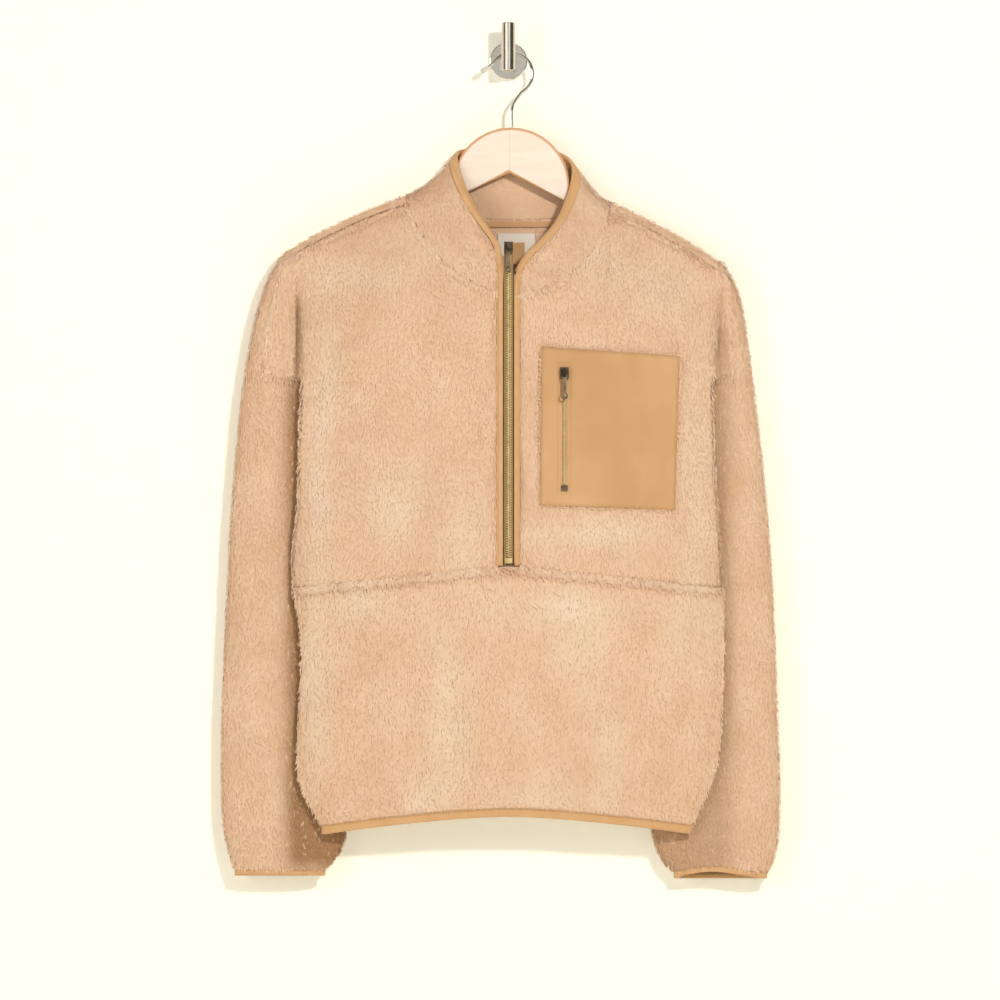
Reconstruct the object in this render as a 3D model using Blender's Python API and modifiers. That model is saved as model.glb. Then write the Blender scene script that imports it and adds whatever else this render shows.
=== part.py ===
# Fleece pullover with a half-length zip, on a wooden hanger that hangs from a wall hook.
# The origin is the centre of the wall plate's back face. The wall is the plane y = 0, the room is on
# the side of negative y, x runs to the right of someone who looks at the front, and z is up.
# Tables and sizes are in millimetres. The wearer's right is at negative x.

import math

import bmesh
import bpy

MM = 0.001

# Cloth
WALL = 6.0  # knitted backing and its pile
SEAM_GAP = 0.4
BINDING = 6.6  # visible width of the tape on the zip and collar edges
HEM_BINDING = 9.0
CUFF_BINDING = 6.0

# Levels
UNDERARM = -318.0
SHOULDER_DROP = 11.0  # from the top of the shoulder to its forward seam
SHOULDER_ARCH = 14.0  # height of the rounded top of the shoulder

# Depths, from the wall
HANG_Y = -25.0  # the plane in which the hanger and the sleeves hang
SLEEVE_HALF_DEPTH = 17.5
EDGE_Y = -51.0  # middle of the fold at the body's side edge
EDGE_HALF = 7.0
BACK_Y = HANG_Y + SLEEVE_HALF_DEPTH
SLEEVE_CLEARANCE = 2.0  # between the body and the sleeve behind its edge
ROUND = 0.85  # exponent of the sleeve's oval, 1 is an ellipse
NECK_HALF_WIDTH = 102.0
NECK_DEPTH = 40.0
NECK_ROUND = 0.8
BACK_NECK_Z = -160.0
ZIP_HALF = 12.0  # from the zip's middle to the fleece edge

# Body side edge: height, distance from the middle on the wearer's right, and on the left
BODY_EDGE = (
    (-185, 210.0, 208.5),
    (-262, 210.0, 208.5),
    (-291, 207.5, 205.0),
    (-320, 208.1, 203.9),
    (-410, 210.0, 207.8),
    (-445, 211.7, 209.5),
    (-480, 216.0, 211.2),
    (-500, 217.6, 213.0),
    (-522, 216.8, 214.4),
    (-548, 211.7, 216.4),
    (-590, 206.1, 215.2),
    (-630, 208.1, 214.0),
    (-700, 212.3, 210.0),
    (-729, 207.0, 201.0),
    (-748, 199.5, 192.4),
    (-766, 187.0, 183.5),
)

# Sleeves: height, outer edge, inner edge
RIGHT_SLEEVE = (
    (-189.5, 222.5, 186),
    (-204.8, 237.7, 170),
    (-220, 245.5, 160),
    (-239, 251.1, 150),
    (-268, 258.8, 152),
    (-290, 262.9, 156),
    (-324, 268.0, 160),
    (-376, 273.2, 160),
    (-462, 280.1, 160),
    (-548, 284.4, 160),
    (-620, 287.1, 160),
    (-700, 289.8, 159),
    (-760, 288.5, 159),
    (-785, 284.5, 163),
    (-802, 279.0, 172),
    (-810, 274.5, 183),
)
LEFT_SLEEVE = (
    (-200, 212.0, 176),
    (-212.4, 224.9, 166),
    (-223.9, 232.5, 148),
    (-243, 236.4, 138),
    (-285, 240.8, 132),
    (-316, 245.8, 139),
    (-359, 250.9, 141),
    (-402, 256.0, 141),
    (-445, 260.3, 141),
    (-488, 263.8, 141),
    (-540, 267.2, 141),
    (-597, 268.8, 141),
    (-674, 271.7, 140),
    (-731, 273.6, 140),
    (-779, 272.6, 143),
    (-804, 268.0, 152),
    (-813, 259.0, 165),
)

# Armhole seam: depth below its top, distance inside the sleeve's outline
ARMHOLE = ((0, 0.0), (9, 7.0), (19, 12.5), (60, 18.0), (100, 20.0), (140, 20.0))

# Sleeve's half depth: height below the shoulder point, share of the full half depth
SLEEVE_DEPTH = (
    (0, 0.12),
    (2, 0.45),
    (5, 0.72),
    (9, 0.92),
    (14, 1.0),
    (500, 1.0),
    (585, 0.95),
    (612, 0.8),
    (630, 0.7),
)

# Neck seam at the front: distance from the middle, height on the wearer's right, and on the left
NECK_FRONT = (
    (12.0, -232.0, -235.0),
    (31.5, -224.5, -228.0),
    (52.0, -213.5, -219.5),
    (69.0, -199.5, -208.5),
    (83.0, -182.5, -195.0),
    (94.0, -164.5, -176.0),
    (102.0, -147.5, -156.0),
)

# Top of the shoulders: distance from the middle, height on the wearer's right, and on the left
SHOULDER = (
    (0, -120.0, -124.0),
    (102, -134.0, -141.0),
    (118, -138.5, -146.5),
    (146, -149.3, -160.0),
    (175, -162.7, -176.0),
    (202, -176.5, -192.5),
    (215, -184.0, -202.0),
    (230, -195.0, -214.0),
)

# Top edge of the collar, front to back: distance from the middle, y, height
COLLAR_TOP_RIGHT = (
    (12, -73, -199),
    (16, -70, -184),
    (25, -65, -172),
    (36, -59, -157),
    (48, -51, -137),
    (56.5, -42, -118),
    (60, -33, -103),
    (60, -23, -98),
    (54.5, -13, -95.5),
    (40, -10, -94),
    (22, -9, -93.5),
    (0, -9, -93.5),
)
COLLAR_TOP_LEFT = (
    (12, -75, -214),
    (17, -72, -203),
    (30, -67, -191),
    (45, -60, -177),
    (58, -52, -161),
    (67, -42, -141),
    (73, -33, -121),
    (71, -23, -108),
    (58, -13, -99),
    (42, -10, -95),
    (22, -9, -93.5),
    (0, -9, -93.5),
)

# Soft vertical folds in the lower front: x, z of the upper end, z of the lower end, depth
FRONT_FOLDS = (
    (-57, -585, -760, 3.0),
    (56, -600, -760, 3.5),
    (119, -590, -745, 3.0),
    (-140, -640, -760, 2.0),
)
FOLD_WIDTH = 13.0

# Pocket corners on the left front: x, z
POCKET = {"top_inner": (33.0, -287.0), "top_outer": (171.0, -296.0),
          "bottom_outer": (166.5, -450.0), "bottom_inner": (31.8, -445.0)}
POCKET_CLOTH = 1.2
POCKET_CHAIN = 1.4  # how far its teeth stand out
POCKET_ZIP_X = 55.8
POCKET_ZIP_TOP = -309.0
POCKET_ZIP_END = -431.0
PULL_TILT = math.radians(7)  # at rest a pull lies against the zip

# Zip
ZIP_TOP = -185.0
ZIP_END = -503.5
ZIP_STOP = 5.6  # height of the bottom stop
SLIDER_CLEARANCE = 0.9
CHAIN_WIDTH = 5.6
CHAIN_THICK = 2.4
TAPE_THICK = 1.0

# Hanger and hooks
WOOD_THICK = 13.0
WOOD_RADIUS = 59.0
WOOD_TOP = -67.0
WOOD_X = 2.4
WOOD_UNDER = -112.8  # tip of the V underneath
WOOD_EDGE = 2.2  # rounding of its edges
ARM_CLEARANCE = 0.9
ARM_POINTS = (102, 120, 133, 146, 160, 175, 188)  # distances from the middle along the arm's top
ARM_START_DROP = 1.6
ARM_SLOPE = {"right": 0.445, "left": 0.5}  # of the arms' underside
HOOK_RADIUS = 21.3
HOOK_WIRE = 1.5
HOOK_CENTRE = (3.0, -13.1)
PLATE_RADIUS = 19.0
PLATE_THICK = 6.0
STEM_RADIUS = 6.1
PEG_RADIUS = 7.0
PEG_Y = -41.0
PEG_TOP = 38.0
PEG_BOTTOM = -10.0

FLEECE = (0.80, 0.54, 0.34)
BINDING_TAN = (0.58, 0.36, 0.16)
BRASS = (0.33, 0.24, 0.10)
BRONZE = (0.06, 0.04, 0.03)
WOOD = (0.93, 0.78, 0.60)
CHROME = (0.75, 0.75, 0.75)
NICKEL = (0.55, 0.53, 0.50)
LABEL = (0.9, 0.86, 0.78)
CLEAR = (0.8, 0.8, 0.78)


def table(rows, key, column):
    """Reads a column at key with a smooth curve through the rows."""
    rows = sorted(rows)
    keys = [row[0] for row in rows]
    values = [row[column] for row in rows]
    if key <= keys[0]:
        return float(values[0])
    if key >= keys[-1]:
        return float(values[-1])
    i = max(n for n in range(len(keys) - 1) if keys[n] <= key)
    step = keys[i + 1] - keys[i]
    t = (key - keys[i]) / step

    def slope(n):
        if n == 0 or n == len(keys) - 1:
            a, b = (0, 1) if n == 0 else (n - 1, n)
            return (values[b] - values[a]) / (keys[b] - keys[a])
        before = (values[n] - values[n - 1]) / (keys[n] - keys[n - 1])
        after = (values[n + 1] - values[n]) / (keys[n + 1] - keys[n])
        return 0.0 if before * after <= 0 else 2 * before * after / (before + after)

    h00 = 2 * t**3 - 3 * t**2 + 1
    h10 = t**3 - 2 * t**2 + t
    h01 = 3 * t**2 - 2 * t**3
    h11 = t**3 - t**2
    return h00 * values[i] + h10 * step * slope(i) + h01 * values[i + 1] + h11 * step * slope(i + 1)


def along(rows, share):
    """A point at a share of the way along a table of points."""
    lengths = [0.0]
    for a, b in zip(rows, rows[1:]):
        lengths.append(lengths[-1] + math.dist(a, b))
    keyed = [(length / lengths[-1],) + tuple(row) for length, row in zip(lengths, rows)]
    return tuple(table(keyed, share, column) for column in range(1, len(rows[0]) + 1))


def mix(a, b, t):
    return a + (b - a) * t


def smoothstep(low, high, value):
    t = min(max((value - low) / (high - low), 0.0), 1.0)
    return t * t * (3 - 2 * t)


def spread(count):
    return [i / count for i in range(count + 1)]


class Cloth:
    """A closed wall of cloth, from pairs of outer and inner points and the quads between them."""

    def __init__(self):
        self.outer, self.inner, self.quads, self.keys = [], [], [], {}

    def point(self, key, outer, inner):
        if key not in self.keys:
            self.keys[key] = len(self.outer)
            self.outer.append(outer)
            self.inner.append(inner)
        return self.keys[key]

    def quad(self, *keys):
        self.quads.append([self.keys[key] for key in keys])

    def build(self, name, colour, roughness=0.9):
        mesh = bmesh.new()
        outer = [mesh.verts.new([c * MM for c in p]) for p in self.outer]
        inner = [mesh.verts.new([c * MM for c in p]) for p in self.inner]
        uses = {}
        for quad in self.quads:
            mesh.faces.new([outer[n] for n in quad])
            mesh.faces.new([inner[n] for n in reversed(quad)])
            for a, b in zip(quad, quad[1:] + quad[:1]):
                uses.setdefault(frozenset((a, b)), []).append((a, b))
        for edges in uses.values():
            if len(edges) == 1:
                a, b = edges[0]
                mesh.faces.new([outer[b], outer[a], inner[a], inner[b]])
        return finish(mesh, name, colour, roughness)


def finish(mesh, name, colour, roughness=0.5, metallic=0.0):
    """Turns a bmesh into a named object with its own material."""
    bmesh.ops.recalc_face_normals(mesh, faces=mesh.faces)
    data = bpy.data.meshes.new(name)
    mesh.to_mesh(data)
    mesh.free()
    data.shade_smooth()
    data.set_sharp_from_angle(angle=math.radians(40))
    thing = bpy.data.objects.new(name, data)
    PARTS.objects.link(thing)
    paint(thing, colour, roughness, metallic)
    return thing


def paint(thing, colour, roughness=0.5, metallic=0.0):
    material = bpy.data.materials.new(thing.name)
    material.use_nodes = True
    shader = material.node_tree.nodes["Principled BSDF"]
    shader.inputs["Base Color"].default_value = (*colour, 1.0)
    shader.inputs["Roughness"].default_value = roughness
    shader.inputs["Metallic"].default_value = metallic
    thing.data.materials.clear()
    thing.data.materials.append(material)


class Side:
    """One side of the garment. sign is -1 for the wearer's right and 1 for the left, and distances
    from the middle are positive on both sides."""

    def __init__(self, name, sign, sleeve, collar_top, column):
        self.name, self.sign, self.sleeve_rows = name, sign, sleeve
        self.collar_top, self.column = collar_top, column
        self.shoulder_point = max(row[0] for row in sleeve)
        self.cuff = min(row[0] for row in sleeve)
        self.corner_z = UNDERARM + 5.0

    def edge(self, z):
        return table(BODY_EDGE, z, self.column)

    def shoulder(self, x):
        return table(SHOULDER, x, self.column)

    def neck_front(self, x):
        return table(NECK_FRONT, x, self.column)

    def oval(self, z):
        outer = table(self.sleeve_rows, z, 1)
        inner = table(self.sleeve_rows, z, 2)
        depth = SLEEVE_HALF_DEPTH * table(SLEEVE_DEPTH, self.shoulder_point - z, 1)
        return (outer + inner) / 2, (outer - inner) / 2, depth

    def ring(self, angle, z, grow=0.0):
        """A point of the sleeve's outline at a height. Angle 0 is the outer edge, 90 degrees the front."""
        middle, half_width, half_depth = self.oval(z)
        c, s = math.cos(angle), math.sin(angle)
        x = middle + (half_width + grow) * math.copysign(abs(c) ** ROUND, c)
        y = HANG_Y - (half_depth + grow) * math.copysign(abs(s) ** ROUND, s)
        return x, y, z

    def inner_ring(self, angle, z):
        middle, half_width, half_depth = self.oval(z)
        wall = min(WALL, 0.75 * half_depth)
        x, y, _ = self.ring(angle, z, -wall)
        return x, y, z - (WALL if half_depth < 10 else 0.0)

    def angle_at(self, x, z):
        """The angle at which the outline passes x, on the front."""
        middle, half_width, _ = self.oval(z)
        share = min(max((x - middle) / half_width, -1.0), 1.0)
        return math.acos(math.copysign(abs(share) ** (1 / ROUND), share))

    def armhole_x(self, z):
        return table(self.sleeve_rows, z, 1) - table(ARMHOLE, self.shoulder_point - z, 1)

    def place(self, point):
        return self.sign * point[0], point[1], point[2]


SEAM_ROWS = 6  # rows between the underarm and the forward shoulder seam
OVER_ROWS = 4  # rows on each side of the top of the shoulder
FOLD_COLUMNS = 3  # columns between the armhole corner and the fold
CROTCH_COLUMNS = 7
TUCK_COLUMNS = 3  # columns of the back seam between the armhole corner and the notch
LOWER_ROWS = 7
HEM_ROWS = 7
BACK_NECK_COLUMNS = 4
COLLAR_ROWS = 5
NECK_COLUMNS = 7
SHOULDER_COLUMNS = 6
NOTCH_ANGLE = math.radians(188)
PLACKET_SHARE = 0.88  # how far up the collar's top row the binding beside the zip goes


def seam_levels(side):
    """Heights of the armhole seam's points, from the underarm corner up to the forward shoulder seam."""
    top = side.shoulder_point - SHOULDER_DROP
    return [mix(side.corner_z, top, t) for t in spread(SEAM_ROWS)]


def armhole_loop(side):
    """The seam's points as (label, angle, height), once round from the forward shoulder seam."""
    loop = []
    levels = seam_levels(side)
    for i, z in reversed(list(enumerate(levels))):
        loop.append((("front", i), side.angle_at(side.armhole_x(z), z), z))
    corner = side.angle_at(side.armhole_x(side.corner_z), side.corner_z)
    fold = side.angle_at(side.edge(UNDERARM) + 2.0, UNDERARM)
    for c in range(1, FOLD_COLUMNS + 1):
        t = c / FOLD_COLUMNS
        loop.append((("under", c), mix(corner, fold, t), mix(side.corner_z, UNDERARM, t)))
    for c in range(1, CROTCH_COLUMNS + 1):
        loop.append((("crotch", c), mix(fold, NOTCH_ANGLE, c / CROTCH_COLUMNS), UNDERARM))
    for c in range(1, TUCK_COLUMNS + 1):
        t = c / TUCK_COLUMNS
        angle = mix(NOTCH_ANGLE, 2 * math.pi - corner, t)
        loop.append((("tuck", c), angle, mix(UNDERARM, side.corner_z, t)))
    for i, z in list(enumerate(levels))[1:]:
        loop.append((("back", i), 2 * math.pi - side.angle_at(side.armhole_x(z), z), z))
    for c in range(1, 2 * OVER_ROWS):
        t = c / OVER_ROWS - 1.0
        z = mix(side.shoulder_point, side.shoulder_point - SHOULDER_DROP, abs(t) ** 2)
        angle = math.copysign(side.angle_at(side.armhole_x(z), z), t)
        if c == OVER_ROWS:
            angle = 0.0
        loop.append((("over", c), angle, z))
    return loop


def even_angle(label, angle, corner):
    """A column's angle below the seam: the ones that start on its upright part spread out."""
    steps = SEAM_ROWS + OVER_ROWS
    if label[0] == "front":
        return corner * (1 - label[1] / steps)
    if label[0] == "back":
        return 2 * math.pi - corner * (1 - label[1] / steps)
    if label[0] == "over":
        return corner * (label[1] - OVER_ROWS) / steps
    return angle


SLEEVE_LEVELS = (0.0, 0.04, 0.11, 0.21, 0.33, 0.46, 0.6, 0.74, 0.86, 0.93, 0.975, 1.0)
# A flat tube is built in four strips: name, first column, last column
SLEEVE_STRIPS = (
    ("outer_fold", ("tuck", 3), ("front", 0)),
    ("front", ("front", 0), ("crotch", 3)),
    ("inner_fold", ("crotch", 3), ("tuck", 1)),
    ("back", ("tuck", 1), ("tuck", 3)),
)


def sleeve(side):
    """A tube from the armhole seam down to the cuff, as its whole wall and the strips that it is built in."""
    cloth = Cloth()
    loop = armhole_loop(side)
    labels = [label for label, _, _ in loop]
    corner = loop[labels.index(("front", 0))][1]
    rows = SLEEVE_LEVELS
    for j, (label, angle, top) in enumerate(loop):
        for i, t in enumerate(rows):
            z = mix(top, side.cuff, t)
            turn = mix(angle, even_angle(label, angle, corner), smoothstep(0.0, 0.11, t))
            outer = side.ring(turn, z)
            inner = side.inner_ring(turn, z)
            if i == 0:
                outer, inner = nudge(label, outer, inner)
            cloth.point((i, j), side.place(outer), side.place(inner))
    for i in range(len(rows) - 1):
        for j in range(len(loop)):
            k = (j + 1) % len(loop)
            cloth.quad((i, j), (i, k), (i + 1, k), (i + 1, j))
    strips = {}
    for name, start, end in SLEEVE_STRIPS:
        first, last = labels.index(start), labels.index(end)
        count = (last - first) % len(loop) + 1
        strips[name] = sleeve_strip(cloth, [(first + n) % len(loop) for n in range(count)])
    return cloth, len(loop), strips


def sleeve_strip(cloth, columns):
    """The part of a sleeve's wall between two columns, drawn back from them by half a gap."""
    strip_cloth = Cloth()
    rows = len(SLEEVE_LEVELS)
    around = len(cloth.outer) // rows
    inward = {columns[0]: 1, columns[-1]: -1}
    for j in columns:
        for i in range(rows):
            n = cloth.keys[(i, j)]
            shift = (0.0, 0.0, 0.0)
            if j in inward:
                before = cloth.outer[cloth.keys[(i, (j - 1) % around)]]
                after = cloth.outer[cloth.keys[(i, (j + 1) % around)]]
                size = inward[j] * SEAM_GAP / 2 / math.dist(before, after)
                shift = [(b - a) * size for a, b in zip(before, after)]
            ends = [tuple(p + s for p, s in zip(point, shift)) for point in (cloth.outer[n], cloth.inner[n])]
            strip_cloth.point((i, j), *ends)
    for i in range(rows - 1):
        for j, k in zip(columns, columns[1:]):
            strip_cloth.quad((i, j), (i, k), (i + 1, k), (i + 1, j))
    return strip_cloth


def nudge(label, outer, inner):
    """Draws a point of the sleeve back from its seam: down at the underarm, and outwards above it."""
    if label == ("tuck", TUCK_COLUMNS):
        dx, dy, dz = SEAM_GAP, -SEAM_GAP * 0.6, -SEAM_GAP
    elif label[0] in ("under", "crotch", "tuck"):
        dx, dy, dz = 0.0, 0.0, -SEAM_GAP
    elif label[0] == "over":
        dx, dy, dz = SEAM_GAP, 0.0, 0.0
    else:
        dx, dy, dz = SEAM_GAP, SEAM_GAP * (0.6 if label[0] == "front" else -0.6), -SEAM_GAP / 2
    return [(p[0] + dx, p[1] + dy, p[2] + dz) for p in (outer, inner)]


def bulge(z):
    """How far the front stands out at its middle, before its side edge."""
    return 26.0 - 6.0 * smoothstep(560, 760, -z)


def fold_depth(x, z):
    depth = 0.0
    for fold_x, top, bottom, deep in FRONT_FOLDS:
        reach = smoothstep(top + 45, top, z) * smoothstep(bottom - 40, bottom + 10, z)
        depth += deep * reach * math.exp(-(((x - fold_x) / FOLD_WIDTH) ** 2))
    return depth


def front_body(side, x, z):
    """Outer and inner depth of the front below the shoulders, at a distance from the middle."""
    share = min(x / side.edge(z), 1.0)
    full = math.sqrt(max(1 - share**16, 0.0))
    swell = bulge(z) * (1 - share**2)
    fold = fold_depth(side.sign * x, z) * full
    outer = EDGE_Y - EDGE_HALF * full - swell + fold
    inner = EDGE_Y - (EDGE_HALF - WALL) * full - swell + fold
    return outer, inner


def front_top(side, column_x):
    """Top boundary of the front at a distance from the middle: z, outer y, inner y."""
    arch = math.sqrt(1 - ((SHOULDER_ARCH - SHOULDER_DROP) / SHOULDER_ARCH) ** 2)
    seam_y = HANG_Y - SLEEVE_HALF_DEPTH * arch
    if column_x < NECK_HALF_WIDTH:
        swing = (1 - (column_x / NECK_HALF_WIDTH) ** 2) ** NECK_ROUND
        y = seam_y - NECK_DEPTH * swing
        return side.neck_front(column_x), y, y + WALL
    return side.shoulder(column_x) - SHOULDER_DROP, seam_y, seam_y + WALL


def front_surface(side, x, z):
    """Outer and inner depth of the upper front at a distance from the middle."""
    top_z, top_outer, top_inner = front_top(side, min(x, side.edge(z)))
    outer, inner = front_body(side, x, z)
    ease = math.sin(math.pi / 2 * min(max(top_z - z, 0.0) / 105.0, 1.0))
    return mix(top_outer, outer, ease), mix(top_inner, inner, ease)


def top_columns(side):
    """Distances from the middle of the points along the neck seam and the shoulder seam."""
    neck = [mix(ZIP_HALF, NECK_HALF_WIDTH, math.sin(math.pi / 2 * t)) for t in spread(NECK_COLUMNS)]
    end = side.edge(side.shoulder_point)
    return neck + [mix(NECK_HALF_WIDTH, end, t) for t in spread(SHOULDER_COLUMNS)[1:]]


def waist(x):
    return -505.0 - 0.105 * abs(x)


def upper_front(side):
    """The front from the waist seam to the neck and shoulder seams, with its part over the arm."""
    cloth = Cloth()
    tops = top_columns(side)
    count = len(tops) - 1
    levels = seam_levels(side)
    waist_edge = side.edge(waist(210))
    top_edge = tops[-1]
    for j, top_x in enumerate(tops):
        bottom_share = (j / count) ** 0.9
        top_share = (top_x - ZIP_HALF) / (top_edge - ZIP_HALF)
        top_z = front_top(side, top_x)[0] - SEAM_GAP
        start = waist(ZIP_HALF + bottom_share * (waist_edge - ZIP_HALF)) + SEAM_GAP
        for i in range(LOWER_ROWS + SEAM_ROWS + 1):
            if i <= LOWER_ROWS:
                z = mix(start, UNDERARM, i / LOWER_ROWS)
            else:
                z = mix(UNDERARM, top_z, (i - LOWER_ROWS) / SEAM_ROWS)
            t = (z - start) / (top_z - start)
            share = mix(bottom_share, top_share, smoothstep(0.2, 1.0, t))
            x = ZIP_HALF + share * (side.edge(z) - ZIP_HALF)
            outer, inner = front_surface(side, x, z)
            inner_x = x - WALL * share**3
            cloth.point((i, j), side.place((x, outer, z)), side.place((inner_x, inner, z)))
    for i in range(LOWER_ROWS + SEAM_ROWS):
        for j in range(count):
            cloth.quad((i, j), (i, j + 1), (i + 1, j + 1), (i + 1, j))
    loop = {label: (angle, z) for label, angle, z in armhole_loop(side)}
    for r in range(SEAM_ROWS + 1):
        i = LOWER_ROWS + r
        edge_outer = cloth.outer[cloth.keys[(i, count)]]
        edge_inner = cloth.inner[cloth.keys[(i, count)]]
        seam_angle, seam_z = loop[("front", r)]
        for c in range(1, FOLD_COLUMNS + 1):
            t = c / FOLD_COLUMNS
            if r == 0:
                label = ("front", 0) if c == FOLD_COLUMNS else ("under", FOLD_COLUMNS - c)
                angle, z = loop[label]
            else:
                z = mix(edge_outer[2], seam_z, t)
                edge_angle = side.angle_at(abs(edge_outer[0]) + 2.0, z)
                angle = mix(edge_angle, seam_angle, t)
            outer = side.ring(angle, z)
            inner = side.inner_ring(angle, z)
            if r == SEAM_ROWS:
                start = side.place(edge_outer), side.place(edge_inner)
                low_z = seam_z - SEAM_GAP
                end = side.ring(seam_angle, low_z), side.inner_ring(seam_angle, low_z)
                outer, inner = [tuple(mix(a, b, t) for a, b in zip(u, v)) for u, v in zip(start, end)]
            else:
                step = 1 - smoothstep(0.0, 0.5, t)
                outer = (outer[0], mix(outer[1], edge_outer[1], step), outer[2])
                inner = (inner[0], mix(inner[1], edge_inner[1], step), z)
            cloth.point((i, count + c), side.place(outer), side.place(inner))
    for r in range(SEAM_ROWS):
        for c in range(FOLD_COLUMNS):
            i, j = LOWER_ROWS + r, count + c
            cloth.quad((i, j), (i, j + 1), (i + 1, j + 1), (i + 1, j))
    return cloth


def hem(x):
    return -747.0 - 19.0 * (min(abs(x), 195.0) / 195.0) ** 1.4


def lower_front():
    """The lower front, under the waist seam, from side seam to side seam."""
    cloth = Cloth()
    count = 12
    for side in SIDES:
        for j in range(count + 1):
            share = math.sin(math.pi / 2 * j / count) ** 0.9 if j else 0.0
            for i in range(HEM_ROWS + 1):
                top = waist(share * side.edge(-525)) - SEAM_GAP
                bottom = hem(share * side.edge(-762))
                z = mix(bottom, top, i / HEM_ROWS)
                x = share * side.edge(z)
                outer, inner = front_body(side, x, z)
                inner_x = share * (side.edge(z) - WALL)
                cloth.point((i, side.sign * j), side.place((x, outer, z)), side.place((inner_x, inner, z)))
    for i in range(HEM_ROWS):
        for j in range(-count, count):
            cloth.quad((i, j), (i, j + 1), (i + 1, j + 1), (i + 1, j))
    return cloth, [(0, j) for j in range(-count, count + 1)]


def back_gap(z):
    """Clearance between the body and the sleeve that hangs behind its edge."""
    return mix(SEAM_GAP, SLEEVE_CLEARANCE, smoothstep(UNDERARM, UNDERARM - 70.0, z))


def arch_point(side, x, t):
    """Outer and inner points over the shoulder. t runs from -1 at the back to 1 at the forward seam."""
    drop = SHOULDER_DROP * t * t
    z = side.shoulder(x) - drop
    reach = SLEEVE_HALF_DEPTH * math.sqrt(1 - ((SHOULDER_ARCH - drop) / SHOULDER_ARCH) ** 2)
    inner_reach = (SLEEVE_HALF_DEPTH - WALL) * reach / SLEEVE_HALF_DEPTH
    inner_z = z - WALL * (1 - t * t)
    y = HANG_Y - math.copysign(reach, t)
    return (x, y, z), (x, HANG_Y - math.copysign(inner_reach, t), inner_z)


def back_neck(x):
    """Height of the back neck seam, as a share of the way from the middle to the shoulder."""
    return (x / NECK_HALF_WIDTH) ** 2


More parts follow.
